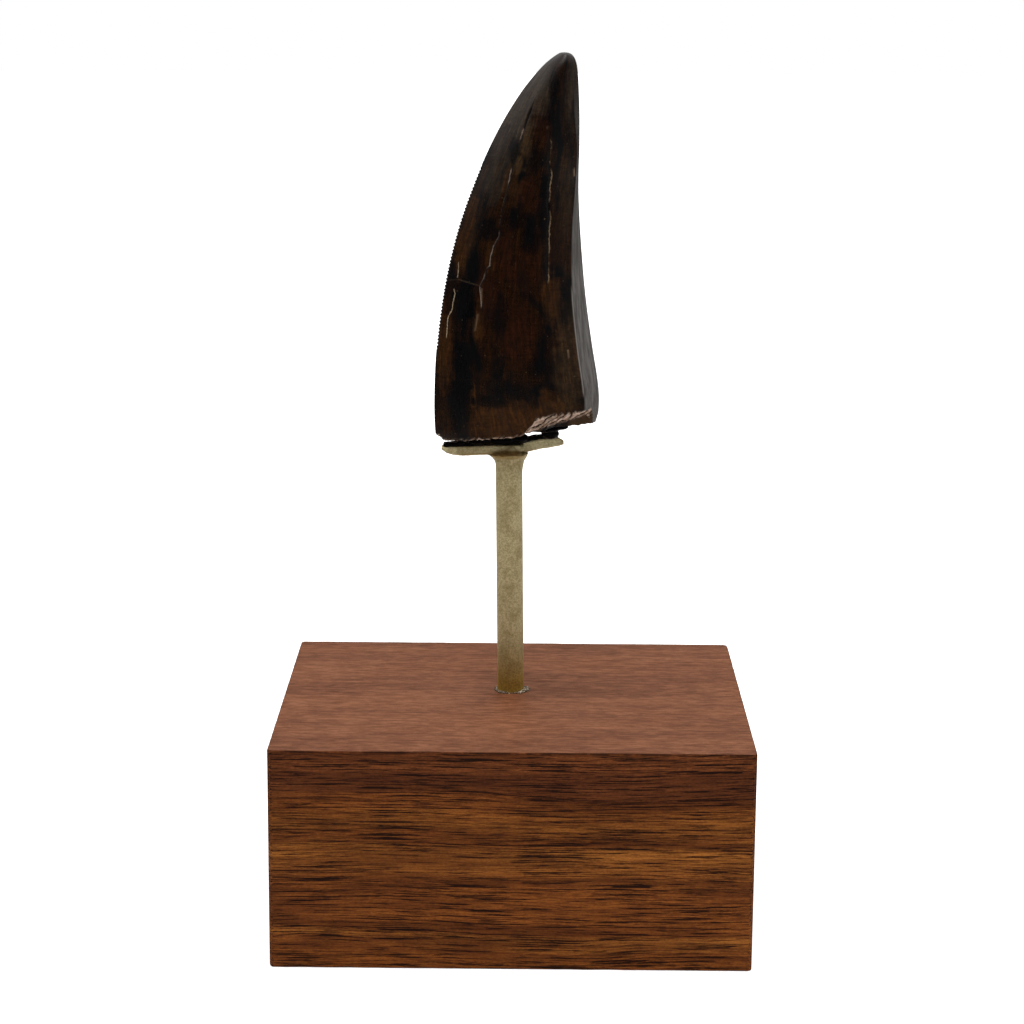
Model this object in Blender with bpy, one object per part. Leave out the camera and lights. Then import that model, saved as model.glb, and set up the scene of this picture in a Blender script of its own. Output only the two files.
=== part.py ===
"""A fossil tyrannosaur tooth held on a brass post over a plain wooden block.

Metres, +Z up. X runs to the right and -Y faces the viewer.
The origin is the centre of the block's underside.
"""

import math

import bmesh
import bpy
from mathutils import Matrix, Vector, noise

# Wooden block
BLOCK_WIDTH = 0.0825
BLOCK_DEPTH = 0.0700
BLOCK_HEIGHT = 0.0388
BLOCK_EDGE_RADIUS = 0.0006
SOCKET_DEPTH = 0.0200

# Brass post: its foot is where its axis meets the block's top
POST_RADIUS = 0.00238
POST_FOOT = Vector((-0.0005, 0.0026, BLOCK_HEIGHT))
POST_LEAN = math.radians(0.8)
POST_TOP_Z = 0.0823
HEAD_RADIUS = 0.0035
HEAD_FLARE_HEIGHT = 0.0032
POST_SIDES = 40

# Clearances: pieces that touch in life stay this far apart as solids
JOINT_GAP = 0.0003
GLUE_GAP = 0.0002

# Ring of glue round the post's foot
GLUE_OUTER_RADIUS = 0.00325
GLUE_HEIGHT = 0.00055
GLUE_SIDES = 36

# Cradle bars
BAR_WIDTH = 0.0024
BAR_EDGE_RADIUS = 0.00022
ARM_RIGHT_HEADING = math.radians(25)

# The left bar runs towards -X from the seam, sags a little, and ends in a filed nose:
# (distance from the hub, lower z, upper z, slant of the end in plan)
ARM_LEFT_STATIONS = (
    (-0.00165, 0.08262, 0.08425, -0.00045),
    (0.0036, 0.08262, 0.08416, 0.0),
    (0.0080, 0.08218, 0.08396, 0.0),
    (0.0099, 0.08226, 0.08388, 0.0),
    (0.0112, 0.08270, 0.08384, 0.0),
    (0.0120, 0.08335, 0.08378, 0.0),
)
# The right bar starts past the seam, rises slightly, and its end is cut slanting
ARM_RIGHT_STATIONS = (
    (0.00235, 0.08268, 0.08462, -0.00012),
    (0.0052, 0.08300, 0.08492, 0.0),
    (0.0096, 0.08330, 0.08500, 0.0),
    (0.0108, 0.08352, 0.08432, 0.0),
)

# Black bedding on the bars
BEDDING_WIDTH = 0.0023
BEDDING_THICKNESS = 0.00042
BEDDING_LEFT_RUN = (-0.0030, 0.0116)
BEDDING_RIGHT_RUN = (0.0010, 0.0094)
BEDDING_HUB_TOP = 0.08462
BEDDING_RUN_STEPS = 4
# Its lumps between the bars and the tooth: (centre, radii)
BEDDING_LUMPS = (
    ((-0.0026, 0.0026, 0.08500), (0.0050, 0.0026, 0.00080)),
    ((-0.0103, 0.0026, 0.08438), (0.0007, 0.0010, 0.00034)),
    ((0.0064, 0.0042, 0.08645), (0.0036, 0.0026, 0.00060)),
    ((0.0060, 0.0046, 0.08575), (0.0014, 0.0013, 0.00070)),
)

# Tooth
TOOTH_DEPTH_CENTRE = POST_FOOT.y
TIP_LEAN_BACK = 0.0030
# Two outlines in the XZ plane, from the base to just under the tip:
# (share of the height, mesial x, mesial z, distal x, distal z)
TOOTH_OUTLINE = (
    (0.00, -0.01345, 0.08475, 0.01415, 0.08855),
    (0.03, -0.01424, 0.08670, 0.01478, 0.09050),
    (0.10, -0.01443, 0.09180, 0.01471, 0.09450),
    (0.24, -0.01407, 0.10100, 0.01347, 0.10200),
    (0.39, -0.01272, 0.11180, 0.01222, 0.11050),
    (0.53, -0.01058, 0.12140, 0.01132, 0.11950),
    (0.66, -0.00764, 0.13010, 0.01073, 0.12850),
    (0.78, -0.00398, 0.13840, 0.01082, 0.13700),
    (0.89, 0.00025, 0.14560, 0.01067, 0.14480),
    (0.96, 0.00408, 0.15035, 0.01028, 0.15040),
    (0.99, 0.00668, 0.15252, 0.00944, 0.15244),
)
TOOTH_TIP = (0.00800, 0.15290)
# Half thickness towards the viewer and away from it, at shares of the height
TOOTH_THICKNESS = (
    (0.00, 0.0070, 0.0092),
    (0.20, 0.0070, 0.0090),
    (0.50, 0.0059, 0.0078),
    (0.75, 0.0046, 0.0058),
    (0.90, 0.0033, 0.0038),
    (0.99, 0.0014, 0.0015),
)
# Distal ridge: (share of the height, degrees round from the distal edge, share of the front thickness)
RIDGE_PLACE = (
    (0.00, 36.0, 0.78),
    (0.45, 36.0, 0.76),
    (0.58, 31.0, 0.68),
    (0.68, 22.0, 0.52),
    (0.76, 12.0, 0.30),
    (1.00, 10.0, 0.25),
)
# Serrated part of the mesial edge
SERRATION_FROM = 0.235
SERRATION_TO = 0.715
SERRATION_PITCH = 0.00064
SERRATION_DEPTH = 0.00028
# Broken base: the front corner towards the ridge has chipped off higher than the rest
CHIP_HEIGHT = 0.0029
CHIP_FROM_X = 0.0014
CHIP_FULL_X = 0.0052
CHIP_BACK_DEPTH = (-0.0026, -0.0042)
CHIP_INNER_SHARE = 0.45
BREAK_ROUGHNESS = 0.00022
BREAK_GRAIN = 1400.0
BREAK_FRONT_RISE = 0.03
BREAK_SETTLE_SHARE = 0.16
BREAK_RING_SHARES = (0.86, 0.70, 0.50, 0.28)
FRONT_COLUMNS = 28
BACK_COLUMNS = 30
TOOTH_ROWS = 36
TIP_CROWDING = 1.25


def clear_scene():
    for obj in list(bpy.data.objects):
        bpy.data.objects.remove(obj, do_unlink=True)


def make_material(name, colour, roughness, metallic=0.0):
    material = bpy.data.materials.new(name)
    material.use_nodes = True
    shader = material.node_tree.nodes["Principled BSDF"]
    shader.inputs["Base Color"].default_value = (*colour, 1.0)
    shader.inputs["Roughness"].default_value = roughness
    shader.inputs["Metallic"].default_value = metallic
    return material


def add_object(name, mesh, material=None):
    obj = bpy.data.objects.new(name, mesh)
    bpy.context.scene.collection.objects.link(obj)
    if material:
        mesh.materials.append(material)
    return obj


def mesh_from_bmesh(name, shape, crease_degrees=35.0):
    """The finished mesh, faces pointing out, smooth except across sharp creases."""
    bmesh.ops.recalc_face_normals(shape, faces=shape.faces)
    mesh = bpy.data.meshes.new(name)
    shape.to_mesh(mesh)
    shape.free()
    mesh.shade_smooth()
    mesh.set_sharp_from_angle(angle=math.radians(crease_degrees))
    return mesh


def make_cutter(obj):
    obj.hide_render = True
    obj.display_type = "WIRE"
    return obj


def add_boolean(target, other, operation):
    modifier = target.modifiers.new(operation.title(), "BOOLEAN")
    modifier.operation = operation
    modifier.solver = "EXACT"
    modifier.object = other


def turned_mesh(name, profile, sides):
    """A closed solid turned round the Z axis from (radius, z) points, listed from the bottom up."""
    shape = bmesh.new()
    rings = []
    for radius, z in profile:
        ring = []
        for i in range(sides):
            angle = math.tau * i / sides
            ring.append(shape.verts.new((radius * math.cos(angle), radius * math.sin(angle), z)))
        rings.append(ring)
    for lower, upper in zip(rings, rings[1:]):
        for i in range(sides):
            j = (i + 1) % sides
            shape.faces.new((lower[i], lower[j], upper[j], upper[i]))
    shape.faces.new(rings[0])
    shape.faces.new(rings[-1])
    return mesh_from_bmesh(name, shape)


def turned_ring(name, section, sides):
    """A closed ring turned round the Z axis from a closed loop of (radius, z) points."""
    shape = bmesh.new()
    rings = []
    for i in range(sides):
        angle = math.tau * i / sides
        rings.append([shape.verts.new((r * math.cos(angle), r * math.sin(angle), z)) for r, z in section])
    for i in range(sides):
        one, other = rings[i], rings[(i + 1) % sides]
        for k in range(len(section)):
            n = (k + 1) % len(section)
            shape.faces.new((one[k], one[n], other[n], other[k]))
    return mesh_from_bmesh(name, shape)


def post_matrix():
    """Carries the post's own axis, with z counted from the block's top, to its leaning place."""
    return Matrix.Translation(POST_FOOT) @ Matrix.Rotation(-POST_LEAN, 4, "Y")


def post_axis_at(z):
    return post_matrix() @ Vector((0, 0, (z - BLOCK_HEIGHT) / math.cos(POST_LEAN)))


def build_block(material):
    shape = bmesh.new()
    bmesh.ops.create_cube(shape, size=1.0)
    bmesh.ops.scale(shape, vec=(BLOCK_WIDTH, BLOCK_DEPTH, BLOCK_HEIGHT), verts=shape.verts)
    bmesh.ops.translate(shape, vec=(0, 0, BLOCK_HEIGHT / 2), verts=shape.verts)
    bmesh.ops.bevel(
        shape,
        geom=list(shape.edges),
        offset=BLOCK_EDGE_RADIUS,
        segments=3,
        profile=0.5,
        affect="EDGES",
    )
    block = add_object("base_block", mesh_from_bmesh("base_block", shape, 50.0), material)

    overshoot = 0.002
    radius = POST_RADIUS + JOINT_GAP
    profile = ((radius, -SOCKET_DEPTH - JOINT_GAP), (radius, overshoot))
    cutter = add_object("socket_cutter", turned_mesh("socket_cutter", profile, POST_SIDES))
    cutter.matrix_world = post_matrix()
    add_boolean(block, make_cutter(cutter), "DIFFERENCE")
    return block


def build_glue(material):
    inner = POST_RADIUS + GLUE_GAP
    half_width = (GLUE_OUTER_RADIUS - inner) / 2
    edge_height = GLUE_HEIGHT / 4
    steps = 7
    section = [(inner, GLUE_GAP), (GLUE_OUTER_RADIUS, GLUE_GAP)]
    for i in range(steps):
        angle = math.pi * i / (steps - 1)
        radius = inner + half_width * (1 + math.cos(angle))
        height = edge_height + (GLUE_HEIGHT - edge_height) * math.sin(angle)
        section.append((radius, GLUE_GAP + height))
    glue = add_object("socket_glue", turned_ring("socket_glue", section, GLUE_SIDES), material)
    glue.location = POST_FOOT
    return glue


def build_post(material):
    """The rod, straight from the socket up, then flaring into the brazed head under the bars."""
    top = POST_TOP_Z - BLOCK_HEIGHT
    flare_start = top - HEAD_FLARE_HEIGHT
    flare_power = 3.2
    chamfer = 0.0003
    profile = [(POST_RADIUS - chamfer, -SOCKET_DEPTH), (POST_RADIUS, -SOCKET_DEPTH + chamfer)]
    profile.append((POST_RADIUS, flare_start))
    steps = 7
    for i in range(1, steps + 1):
        share = i / steps
        radius = POST_RADIUS + (HEAD_RADIUS - POST_RADIUS) * share**flare_power
        profile.append((radius, flare_start + (HEAD_FLARE_HEIGHT - chamfer) * share))
    profile.append((HEAD_RADIUS - chamfer, top))
    post = add_object("brass_post", turned_mesh("brass_post", profile, POST_SIDES), material)
    post.matrix_world = post_matrix()
    return post


def bar_mesh(name, stations, heading_vector, width):
    """A bar of four-sided section through (distance along the heading, lower z, upper z, skew) stations.

    The skew slants a station's end face in plan: its far side lies that much further along the bar.
    """
    along = Vector((heading_vector[0], heading_vector[1], 0)).normalized()
    across = Vector((-along.y, along.x, 0))
    hub = post_axis_at(POST_TOP_Z)
    shape = bmesh.new()
    sections = []
    for distance, low, high, skew in stations:
        corners = []
        for side, z in ((-1, low), (1, low), (1, high), (-1, high)):
            place = along * (distance + side * skew) + across * (side * width / 2)
            corners.append(shape.verts.new((hub.x + place.x, hub.y + place.y, z)))
        sections.append(corners)
    for one, other in zip(sections, sections[1:]):
        for k in range(4):
            n = (k + 1) % 4
            shape.faces.new((one[k], one[n], other[n], other[k]))
    shape.faces.new(sections[0])
    shape.faces.new(sections[-1])
    return mesh_from_bmesh(name, shape)


def add_edge_bevel(obj, width, segments=2):
    bevel = obj.modifiers.new("Bevel", "BEVEL")
    bevel.width = width
    bevel.segments = segments
    bevel.limit_method = "ANGLE"
    bevel.angle_limit = math.radians(40)


def build_arms(material):
    left = add_object(
        "cradle_arm_left",
        bar_mesh("cradle_arm_left", ARM_LEFT_STATIONS, (-1, 0), BAR_WIDTH),
        material,
    )
    heading = (math.cos(ARM_RIGHT_HEADING), math.sin(ARM_RIGHT_HEADING))
    right = add_object(
        "cradle_arm_right",
        bar_mesh("cradle_arm_right", ARM_RIGHT_STATIONS, heading, BAR_WIDTH),
        material,
    )
    for arm in (left, right):
        add_edge_bevel(arm, BAR_EDGE_RADIUS)
    return left, right


def ellipsoid(name, centre, radii):
    shape = bmesh.new()
    bmesh.ops.create_uvsphere(shape, u_segments=20, v_segments=12, radius=1.0)
    bmesh.ops.scale(shape, vec=radii, verts=shape.verts)
    bmesh.ops.translate(shape, vec=centre, verts=shape.verts)
    return add_object(name, mesh_from_bmesh(name, shape))


def bar_top(stations, distance):
    """Height of a bar's upper face at a distance from the hub; past the bar's ends it stays level."""
    if distance <= stations[0][0]:
        return stations[0][2]
    for one, other in zip(stations, stations[1:]):
        if distance <= other[0]:
            share = (distance - one[0]) / (other[0] - one[0])
            return one[2] + (other[2] - one[2]) * share
    return stations[-1][2]


def bed_stations(bar_stations, run):
    """Stations of a thin bed along a bar's upper face, level over the hub where the two bars meet."""
    stations = []
    for i in range(BEDDING_RUN_STEPS + 1):
        distance = run[0] + (run[1] - run[0]) * i / BEDDING_RUN_STEPS
        top = bar_top(bar_stations, distance)
        if distance < ARM_RIGHT_STATIONS[0][0]:
            top = max(top, BEDDING_HUB_TOP)
        lowest = top + JOINT_GAP
        stations.append((distance, lowest, lowest + BEDDING_THICKNESS, 0.0))
    return stations


def build_bedding(material):
    """A thin bed along both bars with lumps on it, joined into one piece."""
    left_stations = bed_stations(ARM_LEFT_STATIONS, BEDDING_LEFT_RUN)
    right_stations = bed_stations(ARM_RIGHT_STATIONS, BEDDING_RIGHT_RUN)
    bed = add_object(
        "black_bedding",
        bar_mesh("black_bedding", left_stations, (-1, 0), BEDDING_WIDTH),
        material,
    )
    heading = (math.cos(ARM_RIGHT_HEADING), math.sin(ARM_RIGHT_HEADING))
    right_bed = add_object(
        "bedding_right_run",
        bar_mesh("bedding_right_run", right_stations, heading, BEDDING_WIDTH),
    )
    add_boolean(bed, make_cutter(right_bed), "UNION")
    for number, (centre, radii) in enumerate(BEDDING_LUMPS, start=1):
        lump = ellipsoid(f"bedding_lump_{number}", centre, radii)
        add_boolean(bed, make_cutter(lump), "UNION")
    return bed


def spline_value(table, share, column):
    """Smooth value of one column of a table at a share, by a Catmull-Rom curve through its rows."""
    rows = len(table)
    i = 0
    while i < rows - 2 and share > table[i + 1][0]:
        i += 1
    x0, x1 = table[i][0], table[i + 1][0]
    y0, y1 = table[i][column], table[i + 1][column]
    slope = (y1 - y0) / (x1 - x0)
    before = slope if i == 0 else (y1 - table[i - 1][column]) / (x1 - table[i - 1][0])
    after = slope if i == rows - 2 else (table[i + 2][column] - y0) / (table[i + 2][0] - x0)
    t = (share - x0) / (x1 - x0)
    span = x1 - x0
    h00 = 2 * t**3 - 3 * t**2 + 1
    h10 = t**3 - 2 * t**2 + t
    h01 = -2 * t**3 + 3 * t**2
    h11 = t**3 - t**2
    return h00 * y0 + h10 * span * before + h01 * y1 + h11 * span * after


def smooth_step(low, high, value):
    t = min(1.0, max(0.0, (value - low) / (high - low)))
    return t * t * (3 - 2 * t)


def tooth_point(share, place):
    """A point of the crown's surface.

    place runs round the section: 0 at the mesial edge, over the front to 1 at the distal ridge,
    then past the distal edge and over the back to 2, the mesial edge again.
    """
    last = TOOTH_OUTLINE[-1][0]
    inside = min(share, last)
    mesial = Vector((spline_value(TOOTH_OUTLINE, inside, 1), 0, spline_value(TOOTH_OUTLINE, inside, 2)))
    distal = Vector((spline_value(TOOTH_OUTLINE, inside, 3), 0, spline_value(TOOTH_OUTLINE, inside, 4)))
    front = spline_value(TOOTH_THICKNESS, inside, 1)
    back = spline_value(TOOTH_THICKNESS, inside, 2)
    centre = (mesial + distal) / 2
    half = (distal - mesial) / 2
    if share > last:
        cap = (share - last) / (1 - last)
        shrink = math.sqrt(max(0.0, 1 - cap * cap))
        tip = Vector((TOOTH_TIP[0], 0, TOOTH_TIP[1]))
        centre = centre.lerp(tip, 1 - math.sqrt(1 - cap) if cap < 1 else 1.0)
        half = half * shrink
        front *= shrink
        back *= shrink
    ridge_angle = math.radians(spline_value(RIDGE_PLACE, share, 1))
    ridge_depth = front * spline_value(RIDGE_PLACE, share, 2)
    roundness = smooth_step(0.16, 0.0, share)
    if place <= 1:
        s = place
        along = -1 + (math.cos(ridge_angle) + 1) * s
        bulge = front - 0.45 * ridge_depth
        profile = 4 * s * (1 - s) * (1 + 0.45 * roundness * (1 - s) ** 6)
        depth = -(ridge_depth * s + bulge * profile)
    else:
        angle = -ridge_angle + (math.pi + ridge_angle) * (place - 1)
        along = math.cos(angle)
        if angle < 0:
            depth = ridge_depth * math.sin(angle) / math.sin(ridge_angle)
        else:
            keen = 0.0 if angle < math.pi / 2 else 0.75 - 0.5 * roundness
            depth = back * ((1 - keen) * math.sin(angle) + keen * math.sin(angle) ** 2)
    point = centre + half * along
    point.y = TOOTH_DEPTH_CENTRE + depth + TIP_LEAN_BACK * share * share
    return point


def break_height(x, y, edge_share):
    """Height of the broken base under the crown. edge_share is 1 at the rim and 0 in the middle."""
    mesial_x, mesial_z, distal_x, distal_z = TOOTH_OUTLINE[0][1:]
    level = mesial_z + (distal_z - mesial_z) * (x - mesial_x) / (distal_x - mesial_x)
    depth = y - TOOTH_DEPTH_CENTRE
    level -= BREAK_FRONT_RISE * depth
    slope = max(0.0, edge_share - CHIP_INNER_SHARE) / (1 - CHIP_INNER_SHARE)
    if slope > 0:
        in_front = smooth_step(*CHIP_BACK_DEPTH, depth / edge_share)
        level += CHIP_HEIGHT * slope * in_front * smooth_step(CHIP_FROM_X, CHIP_FULL_X, x)
    rough = noise.noise(Vector((x * BREAK_GRAIN, y * BREAK_GRAIN, 3.7)))
    return level + BREAK_ROUGHNESS * rough


def crown_rows():
    """Shares of the height for the rows, closer together towards the tip."""
    return [1 - (1 - i / TOOTH_ROWS) ** TIP_CROWDING for i in range(TOOTH_ROWS + 1)]


def crown_columns():
    front = [0.5 - 0.5 * math.cos(math.pi * i / FRONT_COLUMNS) for i in range(FRONT_COLUMNS)]
    back = [1 + i / BACK_COLUMNS for i in range(BACK_COLUMNS)]
    return front + back


def serration_points(low_share, high_share):
    """Points of the serrated mesial edge between two rows, each as a share and how far it is cut in."""
    start = max(low_share, SERRATION_FROM)
    stop = min(high_share, SERRATION_TO)
    if stop <= start:
        return []
    length = (tooth_point(high_share, 0) - tooth_point(low_share, 0)).length
    pitch_share = SERRATION_PITCH * (high_share - low_share) / length
    count = max(1, round((high_share - low_share) / pitch_share))
    one_denticle = ((0.06, 1.0), (0.28, 0.0), (0.72, 0.0), (0.94, 1.0))
    points = []
    for i in range(count):
        for place, cut in one_denticle:
            share = low_share + (high_share - low_share) * (i + place) / count
            if start < share < stop:
                points.append((share, cut))
    return points


def serrated_point(share, cut):
    edge = tooth_point(share, 0)
    inward = (tooth_point(share, 0.5) + tooth_point(share, 1.5)) / 2 - edge
    return edge + inward.normalized() * SERRATION_DEPTH * cut


def settled_point(share, place):
    """The surface point once the rows near the base have been moved to follow the break."""
    if share >= BREAK_SETTLE_SHARE:
        return tooth_point(share, place)
    base = tooth_point(0.0, place)
    above = tooth_point(BREAK_SETTLE_SHARE, place)
    wanted = break_height(base.x, base.y, 1.0)
    lift = (wanted - base.z) / (above.z - base.z) * BREAK_SETTLE_SHARE
    return tooth_point(lift + share * (1 - lift / BREAK_SETTLE_SHARE), place)


def add_crown_wall(shape):
    """Rows of faces from the base's rim to the tip, with the denticles let into the mesial edge."""
    rows = crown_rows()
    columns = crown_columns()
    count = len(columns)
    grid = []
    for share in rows[:-1]:
        grid.append([shape.verts.new(settled_point(share, place)) for place in columns])
    for r in range(len(grid) - 1):
        lower, upper = grid[r], grid[r + 1]
        denticles = serration_points(rows[r], rows[r + 1])
        edge = [shape.verts.new(serrated_point(share, cut)) for share, cut in denticles]
        for c in range(1, count - 1):
            shape.faces.new((lower[c], lower[c + 1], upper[c + 1], upper[c]))
        shape.faces.new([lower[0], lower[1], upper[1], upper[0], *reversed(edge)])
        shape.faces.new([lower[-1], lower[0], *edge, upper[0], upper[-1]])
    tip = shape.verts.new(tooth_point(1.0, 0.0))
    for c in range(count):
        shape.faces.new((grid[-1][c], grid[-1][(c + 1) % count], tip))
    return grid[0]


def add_broken_base(shape, rim):
    """Rings of faces that close the crown underneath along the rough break."""
    count = len(rim)
    centre = sum((v.co for v in rim), Vector()) / count
    previous = rim
    for edge_share in BREAK_RING_SHARES:
        ring = []
        for v in rim:
            x = centre.x + (v.co.x - centre.x) * edge_share
            y = centre.y + (v.co.y - centre.y) * edge_share
            ring.append(shape.verts.new((x, y, break_height(x, y, edge_share))))
        for c in range(count):
            n = (c + 1) % count
            shape.faces.new((previous[c], previous[n], ring[n], ring[c]))
        previous = ring
    middle = shape.verts.new((centre.x, centre.y, break_height(centre.x, centre.y, 0.0)))
    for c in range(count):
        shape.faces.new((previous[c], previous[(c + 1) % count], middle))


def build_tooth(material):
    shape = bmesh.new()
    rim = add_crown_wall(shape)
    add_broken_base(shape, rim)
    return add_object("tooth", mesh_from_bmesh("tooth", shape, 28.0), material)


def main():
    clear_scene()
    wood = make_material("wood", (0.150, 0.060, 0.028), 0.55)
    brass = make_material("brass", (0.42, 0.33, 0.16), 0.42, metallic=1.0)
    glue = make_material("glue", (0.22, 0.15, 0.08), 0.25)
    bedding = make_material("bedding", (0.004, 0.004, 0.004), 0.45)
    enamel = make_material("fossil_enamel", (0.022, 0.012, 0.007), 0.28)
    build_block(wood)
    build_glue(glue)
    build_post(brass)
    build_arms(brass)
    build_bedding(bedding)
    build_tooth(enamel)


main()
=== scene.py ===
"""A fossil tyrannosaur tooth on a brass post and a wooden block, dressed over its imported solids.

Metres, +Z up. X runs to the right and -Y faces the viewer.
The origin is the centre of the block's underside.
"""

import math

import bmesh
import bpy
import numpy as np
from mathutils import Matrix, Vector, noise


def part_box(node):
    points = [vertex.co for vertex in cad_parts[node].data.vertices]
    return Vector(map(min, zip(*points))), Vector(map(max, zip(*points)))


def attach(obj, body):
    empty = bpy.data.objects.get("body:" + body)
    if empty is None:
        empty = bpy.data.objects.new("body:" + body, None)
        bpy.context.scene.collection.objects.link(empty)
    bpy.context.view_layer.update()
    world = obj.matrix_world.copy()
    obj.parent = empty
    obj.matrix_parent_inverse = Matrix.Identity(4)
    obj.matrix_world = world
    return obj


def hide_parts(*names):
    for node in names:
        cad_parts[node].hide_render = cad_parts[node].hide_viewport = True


bl_info = {
    "name": "Fossil Tooth Display",
    "version": (1, 0, 0),
    "blender": (4, 5, 0),
    "location": "3D View > Sidebar > Fossil Tooth",
    "description": "Builds a fossil tyrannosaur tooth on a brass post over a wooden block",
    "category": "Add Mesh",
}

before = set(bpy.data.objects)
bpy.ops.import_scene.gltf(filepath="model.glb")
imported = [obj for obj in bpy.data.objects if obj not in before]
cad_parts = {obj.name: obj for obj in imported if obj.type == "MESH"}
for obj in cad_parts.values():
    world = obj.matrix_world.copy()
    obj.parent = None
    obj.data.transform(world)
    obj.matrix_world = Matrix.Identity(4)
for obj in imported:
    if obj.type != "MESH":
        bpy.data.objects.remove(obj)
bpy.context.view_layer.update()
BLOCK_LOW, BLOCK_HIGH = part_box("base_block")
POST_LOW, POST_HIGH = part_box("brass_post")
MM = 0.001

# Post: its foot is where its axis meets the block's top
POST_FOOT = Vector((-0.0005, 0.0026, BLOCK_HIGH.z))
POST_LEAN = math.radians(0.8)
HEAD_RADIUS = 0.0035

# Cradle bars: (distance from the hub, lower z, upper z, slant of the end in plan)
ARM_RIGHT_HEADING = math.radians(25)
ARM_LEFT_STATIONS = (
    (-0.00165, 0.08245, 0.08425, -0.00045),
    (0.0036, 0.08245, 0.08416, 0.0),
    (0.0080, 0.08218, 0.08396, 0.0),
    (0.0099, 0.08226, 0.08388, 0.0),
    (0.0112, 0.08270, 0.08384, 0.0),
    (0.0120, 0.08335, 0.08378, 0.0),
)
ARM_RIGHT_STATIONS = (
    (0.00215, 0.08255, 0.08462, -0.00012),
    (0.0052, 0.08296, 0.08492, 0.0),
    (0.0092, 0.08328, 0.08500, 0.0),
    (0.0103, 0.08350, 0.08436, 0.0),
)

# Tooth outlines in the XZ plane: (share of the height, mesial x, mesial z, distal x, distal z)
TOOTH_DEPTH_CENTRE = POST_FOOT.y
TIP_LEAN_BACK = 0.0030
TOOTH_OUTLINE = (
    (0.00, -0.01398, 0.08475, 0.01430, 0.08855),
    (0.03, -0.01428, 0.08670, 0.01478, 0.09050),
    (0.10, -0.01443, 0.09180, 0.01471, 0.09450),
    (0.24, -0.01407, 0.10100, 0.01347, 0.10200),
    (0.39, -0.01272, 0.11180, 0.01222, 0.11050),
    (0.53, -0.01058, 0.12140, 0.01132, 0.11950),
    (0.66, -0.00764, 0.13010, 0.01073, 0.12850),
    (0.78, -0.00398, 0.13840, 0.01082, 0.13700),
    (0.89, 0.00025, 0.14560, 0.01067, 0.14480),
    (0.96, 0.00408, 0.15035, 0.01028, 0.15040),
    (0.99, 0.00668, 0.15252, 0.00944, 0.15244),
    (1.00, 0.00800, 0.15290, 0.00800, 0.15290),
)
# (share of the height, half thickness towards the viewer, half thickness away)
TOOTH_THICKNESS = (
    (0.00, 0.0070, 0.0092),
    (0.20, 0.0070, 0.0090),
    (0.50, 0.0059, 0.0078),
    (0.75, 0.0046, 0.0058),
    (0.90, 0.0033, 0.0038),
    (0.99, 0.0015, 0.0016),
    (1.00, 0.0, 0.0),
)
# (share of the height, degrees round from the distal edge, share of the front thickness)
RIDGE_PLACE = (
    (0.00, 36.0, 0.78),
    (0.45, 36.0, 0.76),
    (0.58, 31.0, 0.68),
    (0.68, 22.0, 0.52),
    (0.76, 20.0, 0.24),
    (0.87, 34.0, 0.52),
    (1.00, 50.0, 0.87),
)
# Broken base
CHIP_FROM_X = 0.0004
CHIP_FULL_X = 0.0044
CHIP_BACK_DEPTH = (-0.0026, -0.0042)
CHIP_INNER_SHARE = 0.45
BREAK_FRONT_RISE = 0.03
CORNER_CUT = (-0.0120, -0.0144, 0.0019)
BREAK_SETTLE_SHARE = 0.16
FIBRE_STEP = 0.0006

# Lengthwise cracks down the front: (share of the height, place across the front face, pale edge, dark gap
# with painted shadow)
CRACK_DISTAL = (
    (0.820, 0.640, 0.0, 0.0), (0.780, 0.690, 0.5, 0.2), (0.750, 0.694, 0.3, 0.3), (0.735, 0.700, 0.5, 0.5),
    (0.724, 0.720, 0.2, 0.9), (0.709, 0.745, 1.0, 1.0), (0.683, 0.745, 0.8, 1.0), (0.659, 0.756, 0.6, 1.0),
    (0.634, 0.760, 0.3, 1.0), (0.604, 0.795, 0.6, 1.0), (0.585, 0.795, 0.8, 0.9), (0.552, 0.801, 1.0, 0.8),
    (0.527, 0.812, 1.0, 0.7), (0.508, 0.811, 0.3, 0.7), (0.475, 0.813, 0.4, 0.5), (0.445, 0.816, 0.9, 0.4),
    (0.422, 0.803, 0.0, 0.0),
)
CRACK_MIDDLE = (
    (0.872, 0.302, 0.0, 0.0), (0.855, 0.308, 0.0, 0.8), (0.833, 0.304, 0.0, 1.0), (0.816, 0.306, 0.1, 0.9),
    (0.805, 0.309, 0.9, 0.1), (0.757, 0.315, 0.0, 0.5), (0.721, 0.316, 0.1, 0.5), (0.700, 0.326, 1.0, 0.3),
    (0.685, 0.333, 0.9, 0.3), (0.672, 0.334, 0.3, 0.4), (0.597, 0.342, 0.3, 0.2), (0.546, 0.370, 0.4, 0.2),
    (0.521, 0.343, 0.6, 0.5), (0.490, 0.330, 0.9, 0.6), (0.466, 0.333, 0.9, 0.5), (0.456, 0.306, 0.3, 0.4),
    (0.434, 0.303, 0.5, 0.5), (0.413, 0.277, 0.4, 0.3), (0.392, 0.290, 0.9, 0.4), (0.364, 0.306, 0.7, 0.3),
    (0.350, 0.306, 0.0, 0.0),
)
CRACK_MESIAL = (
    (0.472, 0.078, 0.0, 0.0), (0.460, 0.076, 0.6, 0.2), (0.425, 0.090, 0.6, 0.3), (0.420, 0.086, 0.0, 0.2),
    (0.398, 0.074, 0.0, 0.2), (0.392, 0.077, 0.8, 0.5), (0.384, 0.088, 0.9, 0.7), (0.367, 0.084, 0.9, 0.6),
    (0.342, 0.083, 1.0, 0.5), (0.328, 0.064, 0.9, 0.6), (0.313, 0.060, 0.9, 0.8), (0.293, 0.064, 0.9, 0.4),
    (0.274, 0.067, 0.6, 0.2), (0.266, 0.067, 0.0, 0.0),
)


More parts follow.
